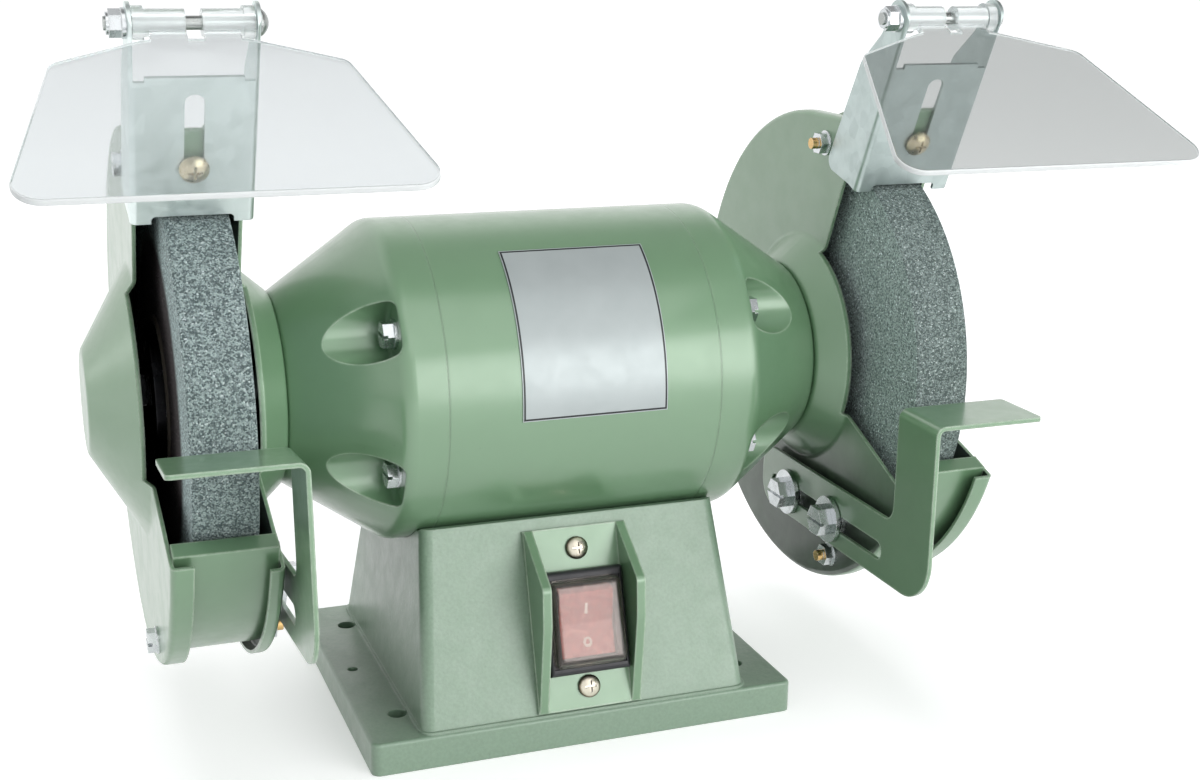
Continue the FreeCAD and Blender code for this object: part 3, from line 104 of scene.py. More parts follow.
# ---- node graphs ----
class Graph:
    """Shader nodes made by calls whose arguments are numbers, colours or nodes' outputs."""

    def __init__(self, tree):
        self.tree = tree

    def node(self, kind, settings=None, **inputs):
        """New node. In the name of an input an underscore stands for a space."""
        made = self.tree.nodes.new(kind)
        for key, value in (settings or {}).items():
            setattr(made, key, value)
        for key, value in inputs.items():
            self.feed(made.inputs[key.replace("_", " ")], value)
        return made

    def feed(self, socket, value):
        if isinstance(value, bpy.types.NodeSocket):
            self.tree.links.new(value, socket)
        else:
            socket.default_value = value

    def feed_all(self, sockets, *values):
        for socket, value in zip(sockets, values):
            self.feed(socket, value)

    def vector(self, operation, first, second=None, scale=None):
        made = self.node("ShaderNodeVectorMath", {"operation": operation})
        self.feed(made.inputs[0], first)
        if second is not None:
            self.feed(made.inputs[1], second)
        if scale is not None:
            self.feed(made.inputs["Scale"], scale)
        return made.outputs["Value" if operation in ("DOT_PRODUCT", "LENGTH") else "Vector"]

    def maths(self, operation, first, second=0.0):
        made = self.node("ShaderNodeMath", {"operation": operation})
        self.feed_all(made.inputs, first, second)
        return made.outputs[0]

    def times(self, first, second):
        return self.maths("MULTIPLY", first, second)

    def plus(self, first, second):
        return self.maths("ADD", first, second)

    def larger(self, first, second):
        return self.maths("MAXIMUM", first, second)

    def magnitude(self, value):
        return self.maths("ABSOLUTE", value)

    def span(self, value, low, high, to_low=0.0, to_high=1.0):
        """Value mapped smoothly from low..high to to_low..to_high, and held outside."""
        made = self.node("ShaderNodeMapRange", {"interpolation_type": "SMOOTHSTEP"})
        self.feed_all(made.inputs, value, low, high, to_low, to_high)
        return made.outputs[0]

    def over(self, value, level, blur):
        """1 where value is over that level, 0 under it, blurred by so much either way."""
        return self.span(value, level - blur, level + blur)

    def under(self, value, level, blur):
        """1 where value is under that level, 0 over it, blurred by so much either way."""
        return self.span(value, level + blur, level - blur)

    def inside_by(self, value, low, high):
        """How far value lies inside low..high."""
        offset = self.maths("SUBTRACT", value, (low + high) / 2)
        return self.maths("SUBTRACT", (high - low) / 2, self.magnitude(offset))

    def mix(self, share, first, second):
        """Colour between first and second."""
        made = self.node("ShaderNodeMix", {"data_type": "RGBA"})
        for index, value in ((0, share), (6, first), (7, second)):
            self.feed(made.inputs[index], value)
        return made.outputs[2]

    def cover(self, base, colour, mask, strength=None):
        """Base with another colour over it where mask is 1, at that strength if one is given."""
        share = mask if strength is None else self.times(mask, strength)
        return self.mix(share, base, colour)

    def mix_shaders(self, share, first, second):
        made = self.node("ShaderNodeMixShader")
        self.feed_all(made.inputs, share, first, second)
        return made.outputs[0]


class Surface(Graph):
    """A Principled material, with the nodes that vary it over the object in millimetres."""

    def __init__(self, name, **settings):
        self.material = bpy.data.materials.new(name)
        self.material.use_nodes = True
        super().__init__(self.material.node_tree)
        self.shader = self.tree.nodes["Principled BSDF"]
        coordinates = self.node("ShaderNodeTexCoord")
        self.direction = coordinates.outputs["Normal"]
        self.place = self.vector("SCALE", coordinates.outputs["Object"], scale=1 / MM)
        self.normal = None
        self.set(**settings)

    def set(self, **settings):
        """Feeds the Principled shader's inputs."""
        for key, value in settings.items():
            self.feed(self.shader.inputs[key.replace("_", " ")], value)

    def done(self, **settings):
        """The material, after the last settings."""
        self.set(**settings)
        if self.normal is not None:
            self.set(Normal=self.normal)
        return self.material

    def axis(self, name, of=None):
        parts = self.node("ShaderNodeSeparateXYZ", Vector=self.place if of is None else of)
        return parts.outputs[name]

    def across(self):
        """Distance to the object's middle plane."""
        return self.magnitude(self.axis("X"))

    def radial(self, line):
        """Way straight out from the line along X through that place."""
        return self.vector("MULTIPLY", self.vector("SUBTRACT", self.place, line), (0.0, 1.0, 1.0))

    def reach(self, line=(0.0, 0.0, SHAFT_Z)):
        """Distance from the line along X through that place, the spindle's if none is given."""
        return self.vector("LENGTH", self.radial(line))

    def stretched(self, size, shift=0.0):
        """Coordinates in which a feature of that size, one number or three, is one unit."""
        sizes = size if isinstance(size, tuple) else (size,) * 3
        scaled = self.vector("MULTIPLY", self.place, tuple(1 / s for s in sizes))
        return self.vector("ADD", scaled, (shift, 2.7 * shift, 5.1 * shift))

    def noise(self, size, detail=3.0, roughness=0.6, shift=0.0):
        return self.node("ShaderNodeTexNoise", Vector=self.stretched(size, shift), Scale=1.0,
                         Detail=detail, Roughness=roughness).outputs["Fac"]

    def spread(self, noise, low=0.0, high=1.0):
        """A noise, most of which is between 0.3 and 0.7, spread over low to high."""
        return self.span(noise, 0.3, 0.7, low, high)

    def cells(self, size, feature="F1", output="Distance", shift=0.0):
        return self.node("ShaderNodeTexVoronoi", {"feature": feature},
                         Vector=self.stretched(size, shift), Scale=1.0).outputs[output]

    def cell_values(self, size, channel):
        """A value of its own for each cell."""
        return self.node("ShaderNodeSeparateColor",
                         Color=self.cells(size, output="Color")).outputs[channel]

    def bands(self, size, distortion):
        """Stripes that follow each other along X."""
        return self.node("ShaderNodeTexWave", {"bands_direction": "X"},
                         Vector=self.stretched(size), Scale=1.0,
                         Distortion=distortion).outputs["Fac"]

    def edges(self, radius):
        """Rounds the edges, and gives the share by which a point lies on one."""
        self.normal = self.node("ShaderNodeBevel", {"samples": 4},
                                Radius=radius * MM).outputs["Normal"]
        true_normal = self.node("ShaderNodeNewGeometry").outputs["Normal"]
        return self.span(self.vector("DOT_PRODUCT", self.normal, true_normal), 0.995, 0.8)

    def relief(self, height, depth):
        """Bumps of that height map, depth millimetres from low to high."""
        made = self.node("ShaderNodeBump", Height=height, Distance=depth * MM, Strength=1.0)
        if self.normal is not None:
            self.feed(made.inputs["Normal"], self.normal)
        self.normal = made.outputs["Normal"]


# ---- enamels ----
def enamel(name, guard=False):
    """Gloss enamel: orange peel, slight mottling, pale on the edges, where it is worn thin and
    carries a painted highlight. The joints of the motor show less of that. On a guard it is black
    inside, partly paint and partly painted shade, with painted shade low on the pans' other side."""
    paint = Surface(name, IOR=1.6, Specular_IOR_Level=0.95, Specular_Tint=(0.78, 1.0, 0.8, 1.0),
                    Coat_Weight=0.6 if guard else 0.8, Coat_Roughness=0.2, Coat_IOR=1.7)
    edge = paint.edges(radius=1.2)
    base = paint.mix(paint.noise(22.0, roughness=0.55), toned(SAGE, 0.93), toned(SAGE, 1.06))
    specks = paint.under(paint.cells(5.5, shift=3.0), 0.05, 0.02)
    base = paint.cover(base, srgb(64, 84, 64), specks, strength=0.25)
    # Pale edges: enamel worn thin, and a painted highlight.
    worn_and_highlight = paint.times(edge, paint.span(paint.noise(3.0, shift=1.0), 0.3, 0.6, 0.5, 1.0))
    on_motor = paint.times(paint.under(paint.across(), TAPER_X, 0.25),
                           paint.over(paint.axis("Z"), SADDLE_Z, 2.0))
    worn_and_highlight = paint.times(worn_and_highlight, paint.span(on_motor, 0.0, 1.0, 1.0, 0.15))
    base = paint.cover(base, SAGE_WORN_AND_HIGHLIGHT, worn_and_highlight)
    rough = paint.spread(paint.noise(9.0, detail=4.0, shift=2.0), 0.34, 0.44)
    if guard:
        base, dull = guard_black_and_painted_shade(paint, base)
        rough = paint.plus(rough, paint.times(dull, 0.3))
    peel = paint.noise(1.5, detail=2.0, roughness=0.5, shift=4.0)
    wave = paint.noise(7.0, detail=1.0, roughness=0.4, shift=5.0)
    paint.relief(paint.plus(peel, wave), depth=0.006)
    return paint.done(Base_Color=base, Roughness=rough)


def guard_black_and_painted_shade(paint, base):
    """Black on the faces of the guards that look at the wheel, partly paint and partly painted
    shade, and painted shade low down on the pans' other side. Gives the colour and how dull it is."""
    depth = paint.across()
    outward = paint.times(paint.axis("X", paint.direction), paint.maths("SIGN", paint.axis("X")))
    radial = paint.radial((0.0, 0.0, SHAFT_Z))
    from_spindle = paint.vector("DOT_PRODUCT", paint.vector("NORMALIZE", radial), paint.direction)
    in_pan = paint.times(paint.over(outward, 0.2, 0.1), paint.under(depth, PAN_FACE + 1.7, 0.2))
    in_cover = paint.times(paint.under(outward, -0.2, 0.1),
                           paint.over(depth, COVER_FACE - 1.8, 0.2))
    in_band = paint.times(paint.under(from_spindle, -0.6, 0.1),
                          paint.over(paint.reach(), BAND_INSIDE_R, 0.3))
    inside = paint.larger(in_pan, paint.larger(in_cover, in_band))
    # Painted shade: darker towards the bottom on the pans' motor side.
    behind = paint.times(paint.under(outward, -0.65, 0.15),
                         paint.under(depth, PAN_FACE + 0.25, 0.25))
    painted_shade_low = paint.times(behind, paint.span(paint.axis("Z"), SHADE_TOP, SHADE_FULL))
    shade_patches = paint.noise(12.0, detail=4.0, roughness=0.65, shift=7.0)
    base = paint.cover(base, srgb(36, 42, 38), painted_shade_low,
                       strength=paint.span(shade_patches, 0.2, 0.6, 0.85, 1.0))
    # Black inside the guards: partly their paint, partly painted shade.
    black = paint.mix(shade_patches, srgb(13, 14, 15), srgb(34, 36, 37))
    return paint.cover(base, black, inside), paint.larger(inside, painted_shade_low)


def hammered(name, colour):
    """Hammered enamel on a rough casting: pebbled, with small darker pits and a painted highlight on the edges."""
    paint = Surface(name, IOR=1.6, Coat_Weight=0.6, Coat_Roughness=0.3, Coat_IOR=1.6)
    edge = paint.edges(radius=0.9)
    pebble = paint.cells(1.9, "SMOOTH_F1", shift=2.0)
    grain = paint.noise(1.1)
    lumps = paint.noise(6.5, shift=6.0)
    pits = paint.under(paint.cells(4.2, shift=8.0), 0.09, 0.07)
    base = paint.mix(paint.spread(grain), toned(colour, 0.94), toned(colour, 1.05))
    base = paint.cover(base, srgb(96, 118, 100), pits, strength=0.18)
    # Painted highlight: paler edges.
    base = paint.cover(base, srgb(190, 206, 190), edge, strength=0.35)
    height = paint.plus(paint.times(pebble, -0.6), paint.times(grain, 0.5))
    height = paint.plus(height, paint.times(lumps, 1.2))
    paint.relief(paint.maths("SUBTRACT", height, paint.times(pits, 0.3)), depth=0.15)
    return paint.done(Base_Color=base, Roughness=paint.spread(lumps, 0.38, 0.52))


# ---- wheels ----
def abrasive(name, grain, dark, light, bond, side_light_gain, painted_shadow_paper=False):
    """Bonded grit: angular grains of mixed grey in a darker bond, with open pores. The sides are
    painted paler than the dressed rim, as painted light, and dark paper that is a painted shadow may cover the
    outer side."""
    stone = Surface(name, IOR=1.6, Specular_IOR_Level=0.45)
    edge = stone.edges(radius=0.7)
    shade = stone.cell_values(grain, 0)
    rim = stone.cells(grain, "DISTANCE_TO_EDGE")
    pores = stone.noise(grain * 2.5, detail=2.0, shift=1.0)
    fine = stone.noise(grain * 0.45, roughness=0.7, shift=3.0)
    glint = stone.span(shade, 0.94, 0.99)
    base = stone.mix(stone.span(shade, 0.05, 0.95), dark, light)
    base = stone.cover(base, light, stone.span(fine, 0.35, 0.75, 0.0, 0.35))
    base = stone.cover(base, bond, stone.span(rim, 0.1, 0.0, 0.0, 0.4))
    # Painted glints: near-white on a few grains.
    base = stone.cover(base, srgb(225, 235, 235), glint, strength=0.7)
    base = stone.cover(base, bond, stone.span(pores, 0.6, 0.8, 0.0, 0.5))
    # Painted highlight: lighter edges.
    base = stone.cover(base, light, edge, strength=0.25)
    # Painted light: sides facing along X made paler than the rim.
    side = stone.over(stone.magnitude(stone.axis("X", stone.direction)), 0.8, 0.1)
    paler = stone.node("ShaderNodeHueSaturation", Color=base, Value=side_light_gain).outputs["Color"]
    base = stone.cover(base, paler, side)
    # Painted shadow of the guard on the outer side, as a disc of dark paper.
    if painted_shadow_paper:
        shadowed_side = stone.times(stone.over(stone.across(), WHEEL_OUTER - 0.2, 0.1),
                              stone.under(stone.reach(), SHADOW_PAPER_R, 4.0))
        paper = stone.mix(stone.noise(1.5, shift=9.0), srgb(24, 18, 20), srgb(44, 34, 36))
        base = stone.cover(base, paper, shadowed_side)
    height = stone.plus(stone.times(shade, 0.8), stone.span(rim, 0.0, 0.25))
    stone.relief(stone.plus(height, fine), depth=0.30 * grain)
    return stone.done(Base_Color=base, Roughness=stone.span(glint, 0.0, 1.0, 0.82, 0.25))


def blotting(name):
    """Dark blotting paper between flange and wheel, dusted by the stone."""
    paper = Surface(name)
    fibre = paper.noise(0.8, detail=5.0, roughness=0.7)
    paper.relief(fibre, depth=0.06)
    return paper.done(Base_Color=paper.mix(fibre, srgb(58, 54, 48), srgb(86, 80, 70)),
                      Roughness=paper.spread(fibre, 0.8, 0.95))


# ---- metals ----
def plated(name, colour, rough, stain=0.15, brushed=None, local=None):
    """Plated steel: satin metal with faint stains, streaked if brushed says how finely.
    Local, a function, changes the colour of single places."""
    metal = Surface(name, Metallic=1.0)
    edge = metal.edges(radius=0.25)
    base = metal.mix(metal.noise(8.0, detail=4.0), toned(colour, 1 - stain),
                     toned(colour, 1 + stain / 2))
    if local:
        base = local(metal, base)
    # Painted highlight: whitened edges.
    base = metal.cover(base, srgb(235, 238, 236), edge, strength=0.5)
    if brushed:
        metal.relief(metal.noise(brushed, detail=2.0, roughness=0.7, shift=5.0), depth=0.012)
    else:
        metal.relief(metal.noise(2.0, detail=2.0, roughness=0.5, shift=5.0), depth=0.0015)
    return metal.done(Base_Color=base,
                      Roughness=metal.spread(metal.noise(4.0, shift=2.0), rough, rough + 0.14))


def spangles_and_lit_left_bracket(metal, base):
    """Zinc spangles. The left bracket is painted paler, as painted light."""
    # Painted light: the left bracket paler than the right.
    base = metal.cover(base, srgb(222, 232, 230), metal.under(metal.axis("X"), -5.0, 5.0))
    return metal.cover(base, srgb(132, 144, 143), metal.cell_values(5.0, 1), strength=0.22)


def gold_tips_and_flange_shade(metal, base):
    """Gold tips on the cover bolts, and painted shade, near black, on the outer flanges and their nuts."""
    reach = metal.reach()
    in_ring = metal.times(metal.over(reach, BOLT_RING[0], 0.15),
                          metal.under(reach, BOLT_RING[1], 1.0))
    tips = metal.times(metal.under(metal.across(), BOLT_TIPS_X, 0.1), in_ring)
    base = metal.cover(base, srgb(206, 172, 116), tips)
    # Painted shade: flanges and nuts on the outer side darkened.
    painted_flange_shade = metal.times(metal.over(metal.across(), WHEEL_INNER + 1.4, 1.0),
                        metal.under(reach, FLANGES_R, 2.5))
    return metal.cover(base, srgb(30, 30, 32), painted_flange_shade)


def hinge_zinc_and_lit_screws(metal, base):
    """Plain zinc on the hinge bolts; on the switch screws, painted shade round the rims and a painted highlight on
    the pale middles.
    """
    height = metal.axis("Z")
    base = metal.cover(base, srgb(168, 172, 170), metal.over(height, HINGE_BOLTS_Z, 2.0))
    on_switch = metal.under(height, SWITCH_SCREWS_Z, 5.0)
    # Painted shade: darker rims where the switch screws' heads turn away.
    rim = metal.under(metal.vector("DOT_PRODUCT", metal.direction, -SLOPE_IN), 0.78, 0.08)
    base = metal.cover(base, srgb(74, 62, 48), on_switch, strength=rim)
    # Painted highlight: pale middles on the switch screws' heads.
    middle = metal.span(rim, 1.0, 0.0, 0.0, 0.6)
    return metal.cover(base, srgb(226, 222, 212), on_switch, strength=middle)


def turned_steel(name, colour, rough):
    """Bare turned steel: fine rings round the spindle."""
    metal = Surface(name, Metallic=1.0, Anisotropic=0.4)
    metal.edges(radius=0.2)
    cloud = metal.noise(10.0)
    metal.relief(metal.noise((0.12, 60.0, 60.0), detail=1.0, roughness=0.5), depth=0.01)
    return metal.done(Base_Color=metal.mix(cloud, toned(colour, 0.85), colour),
                      Roughness=metal.spread(cloud, rough, rough + 0.1))


def laminated(name):
    """Varnished stack of thin steel sheets, seen edge on."""
    stack = Surface(name, Metallic=0.8)
    sheets = stack.bands(3.2, 0.3)
    stack.relief(sheets, depth=0.05)
    return stack.done(Base_Color=stack.mix(sheets, srgb(72, 74, 80), srgb(118, 118, 120)),
                      Roughness=stack.spread(stack.noise(6.0, roughness=0.5), 0.4, 0.55))


def copper(name):
    """Varnished copper wire wound round the spindle's axis."""
    coil = Surface(name, Metallic=0.9, Coat_Weight=0.5, Coat_Roughness=0.3)
    turns = coil.bands(4.0, 1.5)
    cloud = coil.noise(5.0, detail=2.0, roughness=0.5)
    coil.relief(turns, depth=0.25)
    return coil.done(Base_Color=coil.mix(turns, srgb(110, 50, 24), srgb(204, 116, 62)),
                     Roughness=coil.spread(cloud, 0.3, 0.45))


def label_foil(name):
    """Silver foil rating plate, left bare inside a thin printed border."""
    foil = Surface(name)
    low, high = node_box("rating_plate")
    ends = [math.asin((z - SHAFT_Z) / -low.y) * SHELL_R for z in (low.z, high.z)]
    turn = foil.maths("ARCTAN2", foil.maths("SUBTRACT", foil.axis("Z"), SHAFT_Z),
                      foil.times(foil.axis("Y"), -1.0))
    from_rim = foil.maths("MINIMUM", foil.inside_by(foil.axis("X"), low.x, high.x),
                          foil.inside_by(foil.times(turn, SHELL_R), *ends))
    line_from, line_to, blur = 0.285, 0.915, 0.035
    border = foil.times(foil.over(from_rim, line_from, blur), foil.under(from_rim, line_to, blur))
    base = foil.mix(foil.noise(18.0), srgb(155, 163, 163), srgb(171, 178, 178))
    base = foil.cover(base, srgb(24, 28, 30), border)
    brushing = foil.noise((12.0, 0.25, 0.25), detail=2.0, shift=3.0)
    wave = foil.noise(9.0, detail=1.0, roughness=0.4, shift=4.0)
    foil.relief(foil.plus(brushing, wave), depth=0.01)
    return foil.done(Base_Color=base,
                     Metallic=foil.times(foil.maths("SUBTRACT", 1.0, border), 0.35),
                     Roughness=foil.spread(foil.noise(5.0, shift=2.0), 0.3, 0.4))


# ---- plastics ----
def plastic(name, colour, rough):
    """Moulded plastic with a fine spark-eroded grain."""
    mould = Surface(name, IOR=1.49)
    edge = mould.edges(radius=0.25)
    base = mould.mix(mould.noise(14.0), toned(colour, 0.85), toned(colour, 1.15))
    # Painted highlight: lighter edges.
    base = mould.cover(base, toned(colour, 1.0, lift=0.1), edge, strength=0.3)
    cloud = mould.noise(3.0, detail=2.0, roughness=0.5)
    mould.relief(mould.noise(0.5, detail=2.0, shift=4.0), depth=0.02)
    return mould.done(Base_Color=base, Roughness=mould.spread(cloud, rough, rough + 0.12))


def rocker_red(name):
    """Translucent red rocker moulding."""
    lens = Surface(name, IOR=1.49, Transmission_Weight=0.25, Subsurface_Weight=0.35,
                   Subsurface_Scale=0.003, Coat_Weight=0.4, Coat_Roughness=0.1)
    edge = lens.edges(radius=0.3)
    cloud, fog, grain = (lens.noise(size, detail=2.0, roughness=0.5) for size in (5.0, 2.0, 0.8))
    base = lens.mix(cloud, srgb(176, 36, 26), srgb(198, 54, 40))
    # Painted highlight: paler edges.
    base = lens.cover(base, srgb(240, 120, 96), edge, strength=0.4)
    lens.relief(grain, depth=0.01)
    return lens.done(Base_Color=base, Roughness=lens.spread(fog, 0.22, 0.3))


def see_through(surface, tint):
    """Lets light pass straight through the clear piece where it casts its shadow."""
    straight = surface.node("ShaderNodeBsdfTransparent", Color=tint).outputs[0]
    shadow = surface.node("ShaderNodeLightPath").outputs["Is Shadow Ray"]
    either = surface.mix_shaders(shadow, surface.shader.outputs[0], straight)
    surface.feed(surface.tree.nodes["Material Output"].inputs["Surface"], either)


def clear_sheet(name):
    """Clear polycarbonate, a little hazed by handling, with whitish sawn edges and milky
    hinge barrels. The right shield is the smokier one."""
    sheet = Surface(name, IOR=1.46)
    facing = sheet.magnitude(sheet.vector("DOT_PRODUCT", sheet.direction, SHIELD_FACE))
    from_hinge = sheet.reach(SHIELD_HINGE)
    edge = sheet.times(sheet.span(facing, 0.97, 0.9), sheet.span(from_hinge, 5.2, 6.5))
    barrel = sheet.under(from_hinge, 5.3, 0.3)
    milky = sheet.plus(sheet.times(edge, 0.65), sheet.times(barrel, 0.35))
    tint = sheet.mix(sheet.over(sheet.axis("X"), 0.0, 20.0), srgb(206, 210, 211),
                     srgb(192, 195, 194))
    base = sheet.mix(sheet.larger(edge, barrel), tint, srgb(240, 244, 244))
    haze = sheet.spread(sheet.noise(30.0, detail=4.0), 0.015, 0.05)
    scratches = sheet.over(sheet.noise((0.6, 14.0, 9.0), roughness=0.7, shift=2.0), 0.67, 0.05)
    rough = sheet.plus(haze, sheet.times(scratches, 0.05))
    sheet.relief(sheet.noise(16.0, detail=1.0, roughness=0.4, shift=3.0), depth=0.02)
    see_through(sheet, (0.88, 0.9, 0.9, 1.0))
    return sheet.done(Base_Color=base, Roughness=sheet.plus(rough, sheet.times(edge, 0.2)),
                      Transmission_Weight=sheet.span(milky, 0.0, 1.0, 1.0, 0.0))


def soft_boot(name):
    """Clear PVC of the switch's boot, milky over the rocker and clear down its sides."""
    skin = Surface(name, IOR=1.38)
    half_width, half_length = BOOT_HALF
    up = skin.vector("DOT_PRODUCT", skin.vector("SUBTRACT", skin.place, ROCKER_PINS), SLOPE_UP)
    from_rim = skin.maths("MINIMUM", skin.inside_by(skin.axis("X"), -half_width, half_width),
                          skin.inside_by(up, -half_length, half_length))
    skirt = skin.under(from_rim, 2.5, 0.7)
    skin.relief(skin.noise(7.0, detail=1.0, roughness=0.5, shift=2.0), depth=0.02)
    see_through(skin, (0.8, 0.79, 0.77, 1.0))
    return skin.done(Base_Color=skin.mix(skirt, srgb(214, 202, 196), srgb(180, 174, 168)),
                     Roughness=skin.spread(skin.noise(6.0), 0.1, 0.18),
                     Transmission_Weight=skin.span(skirt, 0.0, 1.0, 0.86, 0.97))


# ---- every node in the material of its slot ----
MATERIALS = {
    "gloss_green": enamel("gloss_green_enamel"),
    "guard_green": enamel("guard_enamel", guard=True),
    "hammered_green": hammered("hammered_enamel", srgb(119, 143, 122)),
    "zinc_sheet": plated("zinc_sheet", srgb(188, 200, 198), rough=0.34,
                         brushed=(0.4, 30.0, 30.0), local=spangles_and_lit_left_bracket),
    "plated_screw": plated("yellow_zinc", srgb(206, 194, 164), rough=0.24, local=hinge_zinc_and_lit_screws),
    "plated_steel": plated("bright_zinc", srgb(206, 210, 212), rough=0.17, stain=0.08,
                           local=gold_tips_and_flange_shade),
    "cast_aluminium": plated("cast_aluminium", srgb(190, 192, 194), rough=0.42),
    "bright_steel": turned_steel("turned_steel", srgb(150, 152, 156), rough=0.3),
    "lamination": laminated("lamination"),
    "winding": copper("copper_winding"),
    "silver_label": label_foil("label_foil"),
    "grit_coarse": abrasive("coarse_grit", grain=0.5, dark=srgb(62, 78, 80),
                            light=srgb(176, 194, 192), bond=srgb(40, 48, 52), side_light_gain=1.5,
                            painted_shadow_paper=True),
    "grit_fine": abrasive("fine_grit", grain=0.46, dark=srgb(66, 80, 78),
                          light=srgb(150, 166, 162), bond=srgb(46, 56, 56), side_light_gain=1.9),
    "paper": blotting("blotting_paper"),
    "black_plastic": plastic("black_plastic", srgb(34, 34, 38), rough=0.34),
    "grey_plastic": plastic("grey_plastic", srgb(190, 191, 190), rough=0.4),
    "red_rocker": rocker_red("red_rocker"),
    "clear_boot": soft_boot("clear_boot"),
    "clear_shield": clear_sheet("clear_polycarbonate"),
}
for node_name, node in NODES.items():
    node.data.materials.clear()
    node.data.materials.append(MATERIALS[SLOTS[node_name]])


# ---- marks on the rocker ----
MARK_WHITE = plastic("mark_white", srgb(238, 236, 232), rough=0.4)
MARK_PROUD, MARK_SUNK = 0.14, 0.2
RAYS_FROM = 11.5                # how far in front of the rocker's pins the rays begin
ON_UP, OFF_UP = 4.4, -7.2       # middles of the marks, up the slope from the rocker's pins
ON_HALF = (0.5, 1.9)
OFF_OUTER, OFF_INNER = (1.6, 1.8), (0.75, 0.9)


def oval(middle, radii, count=28):
    """Points round an upright oval at that height up the slope."""
    return [(radii[0] * math.sin(turn), middle + radii[1] * math.cos(turn))
            for turn in (2 * math.pi * k / count for k in range(count))]


def raised_mark(name, *outlines):
    """White piece a little proud of the rocker's face, inside one outline or between two,
    with corners laid on that face by rays."""
    rocker = NODES["switch_rocker"]
    to_rocker = rocker.matrix_world.inverted()
    mesh = bmesh.new()

    def column(across, up):
        """Point over the face and point under it."""
        start = ROCKER_PINS + Vector((across, 0.0, 0.0)) + SLOPE_UP * up - SLOPE_IN * RAYS_FROM
        spot = rocker.ray_cast(to_rocker @ (start * MM), to_rocker.to_3x3() @ SLOPE_IN)[1]
        spot = rocker.matrix_world @ spot
        return [mesh.verts.new(spot + SLOPE_IN * depth * MM) for depth in (-MARK_PROUD, MARK_SUNK)]

    loops = [[column(*corner) for corner in outline] for outline in outlines]
    for loop in loops:
        for here, following in zip(loop, loop[1:] + loop[:1]):
            mesh.faces.new((here[0], here[1], following[1], following[0]))
    for level in (0, 1):
        if len(loops) == 1:
            mesh.faces.new([corner[level] for corner in loops[0]])
            continue
        pairs = list(zip(*loops))
        for one, two in zip(pairs, pairs[1:] + pairs[:1]):
            mesh.faces.new((one[0][level], two[0][level], two[1][level], one[1][level]))
    bmesh.ops.recalc_face_normals(mesh, faces=mesh.faces)
    data = bpy.data.meshes.new(name)
    mesh.to_mesh(data)
    mesh.free()
    data.materials.append(MARK_WHITE)
    mark = bpy.data.objects.new(name, data)
    bpy.context.scene.collection.objects.link(mark)
    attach(mark, "rocker")


raised_mark("mark_on", [(sx * ON_HALF[0], ON_UP + sy * ON_HALF[1])
                        for sx, sy in ((-1, -1), (1, -1), (1, 1), (-1, 1))])
raised_mark("mark_off", oval(OFF_UP, OFF_OUTER), oval(OFF_UP, OFF_INNER))


# ---- camera, as fitted to the photo ----
CAMERA_PLACE = (-186.75, -555.42, 270.44)
CAMERA_YAW, CAMERA_PITCH, CAMERA_ROLL = 20.83, 15.28, 0.80
FOCAL_PX, PHOTO_WIDTH_PX = 1686.28, 1200
SENSOR_MM = 36.0


def aim(yaw, pitch, roll):
    """Turn of a camera that looks along yaw and down by pitch, rolled about its view."""
    yaw, pitch, roll = (math.radians(angle) for angle in (yaw, pitch, roll))
    ahead = Vector((math.sin(yaw) * math.cos(pitch), math.cos(yaw) * math.cos(pitch),
                    -math.sin(pitch)))
    right = Vector((math.cos(yaw), -math.sin(yaw), 0))
    up = right.cross(ahead)
    turned_right = right * math.cos(roll) + up * math.sin(roll)
    turned_up = up * math.cos(roll) - right * math.sin(roll)
    return Matrix((turned_right, turned_up, -ahead)).transposed().to_4x4()


camera = bpy.data.objects.new("camera", bpy.data.cameras.new("camera"))
bpy.context.scene.collection.objects.link(camera)
camera.data.sensor_width = SENSOR_MM
camera.data.lens = SENSOR_MM * FOCAL_PX / PHOTO_WIDTH_PX
camera.data.clip_start = 0.01
camera.matrix_world = (Matrix.Translation(Vector(CAMERA_PLACE) * MM)
                       @ aim(CAMERA_YAW, CAMERA_PITCH, CAMERA_ROLL))
bpy.context.scene.camera = camera


# ---- floor, background and light, in metres ----
FLOOR_HALF = 6.0
GLOW_NEAR, GLOW_FAR = 0.4, 1.6       # distances between which the floor's own white rises
MOTOR_MIDDLE = (0.0, 0.0, 0.12)
DARK_CEILING = (0.46, -0.16, 0.87)   # directions from which the gloss gets less, and more
BRIGHT_PATCH = (0.1, -0.62, 0.78)


def studio_floor():
    """White table top that keeps the object's shadow."""
    mesh = bpy.data.meshes.new("floor")
    corners = [(sx * FLOOR_HALF, sy * FLOOR_HALF, 0.0)
               for sx, sy in ((-1, -1), (1, -1), (1, 1), (-1, 1))]
    mesh.from_pydata(corners, [], [(0, 1, 2, 3)])
    floor = bpy.data.objects.new("floor", mesh)
    bpy.context.scene.collection.objects.link(floor)
    white = Surface("floor_white", Base_Color=(0.86, 0.86, 0.86, 1.0), Roughness=0.9)
    paths = white.node("ShaderNodeLightPath").outputs
    seen = white.larger(paths["Is Camera Ray"],
                        white.larger(paths["Is Glossy Ray"], paths["Is Transmission Ray"]))
    from_middle = white.vector("LENGTH", white.place)
    glow = white.span(from_middle, GLOW_NEAR / MM, GLOW_FAR / MM, 0.4, 0.62)
    white.relief(white.noise(2.0, detail=2.0, roughness=0.5), depth=0.02)
    mesh.materials.append(white.done(Emission_Color=WHITE,
                                     Emission_Strength=white.times(seen, glow)))


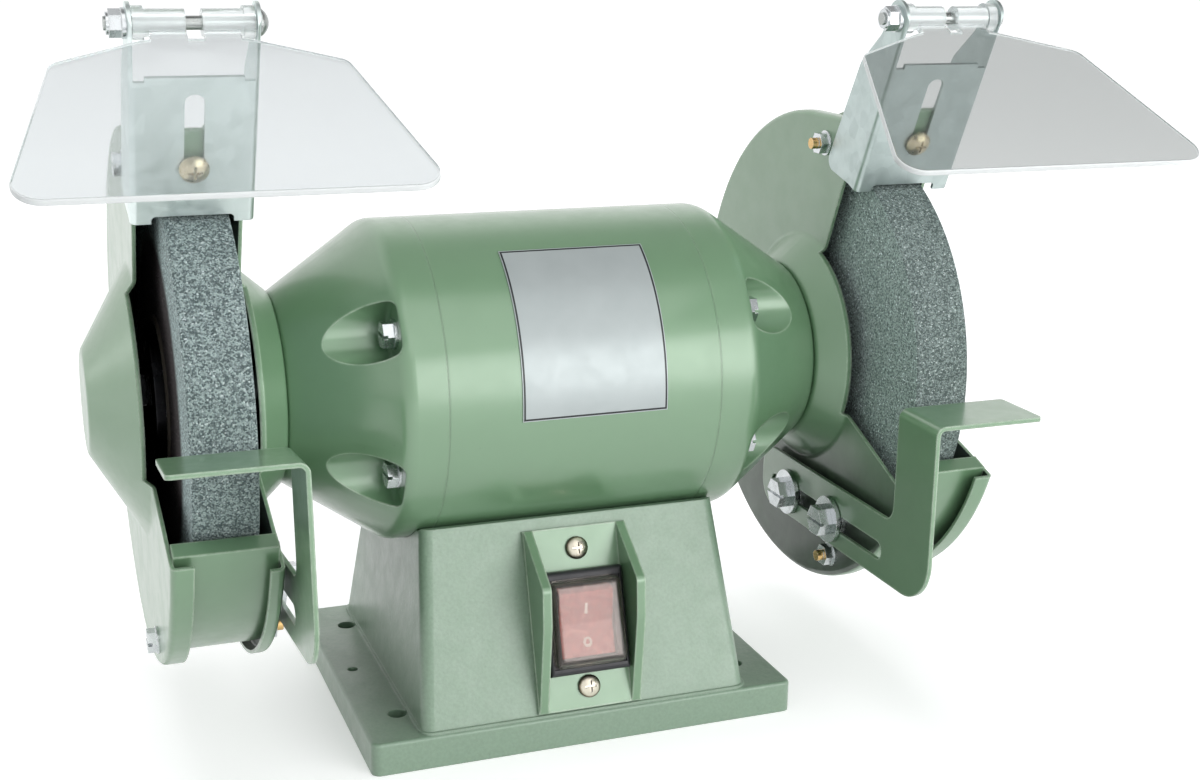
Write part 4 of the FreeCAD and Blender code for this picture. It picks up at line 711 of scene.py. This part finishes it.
def surroundings():
    """White studio: plain white to the eye, softer light on the object, and for the gloss
    a darker ceiling with a bright patch in front."""
    world = bpy.data.worlds.new("studio")
    bpy.context.scene.world = world
    world.use_nodes = True
    world.node_tree.nodes.clear()
    sky = Graph(world.node_tree)
    paths = sky.node("ShaderNodeLightPath").outputs
    towards = sky.node("ShaderNodeTexCoord").outputs["Generated"]

    def about(direction, *steps):
        """Strength by how near a ray comes to that direction."""
        return sky.span(sky.vector("DOT_PRODUCT", towards, direction), *steps)

    def light(colour, strength):
        return sky.node("ShaderNodeBackground", Color=colour, Strength=strength).outputs[0]

    reflected = sky.plus(about(DARK_CEILING, 0.45, 0.85, 1.15, 0.3),
                         about(BRIGHT_PATCH, 0.90, 0.97, 0.0, 1.4))
    lit = sky.mix_shaders(paths["Is Glossy Ray"], light((0.97, 0.985, 1.0, 1.0), 0.5),
                          light(WHITE, reflected))
    seen = sky.larger(paths["Is Camera Ray"], paths["Is Transmission Ray"])
    sky.node("ShaderNodeOutputWorld", Surface=sky.mix_shaders(seen, lit, light(WHITE, 1.0)))


def softbox(name, size, place, watts, target=MOTOR_MIDDLE, mirrored=True):
    """Oblong lamp that looks at target. One that isn't mirrored draws no band in the gloss."""
    lamp = bpy.data.lights.new(name, "AREA")
    lamp.shape = "RECTANGLE"
    lamp.size, lamp.size_y = size
    lamp.energy = watts
    holder = bpy.data.objects.new(name, lamp)
    bpy.context.scene.collection.objects.link(holder)
    holder.location = place
    holder.rotation_euler = (Vector(target) - Vector(place)).to_track_quat("-Z", "Y").to_euler()
    holder.visible_glossy = mirrored


studio_floor()
surroundings()
softbox("key_light", size=(1.5, 0.9), place=(0.9, -1.5, 0.47), watts=11.0)
softbox("side_light", size=(0.9, 1.1), place=(-1.5, 0.55, 0.75), watts=4.5)
softbox("front_light", size=(1.5, 0.9), place=(0.7, -1.6, 0.6), watts=14.0, mirrored=False)
softbox("top_light", size=(1.4, 0.9), place=(0.0, 0.3, 1.7), watts=11.0, target=(0.0, 0.0, 0.1),
        mirrored=False)

view_settings = bpy.context.scene.view_settings
view_settings.view_transform = "Standard"
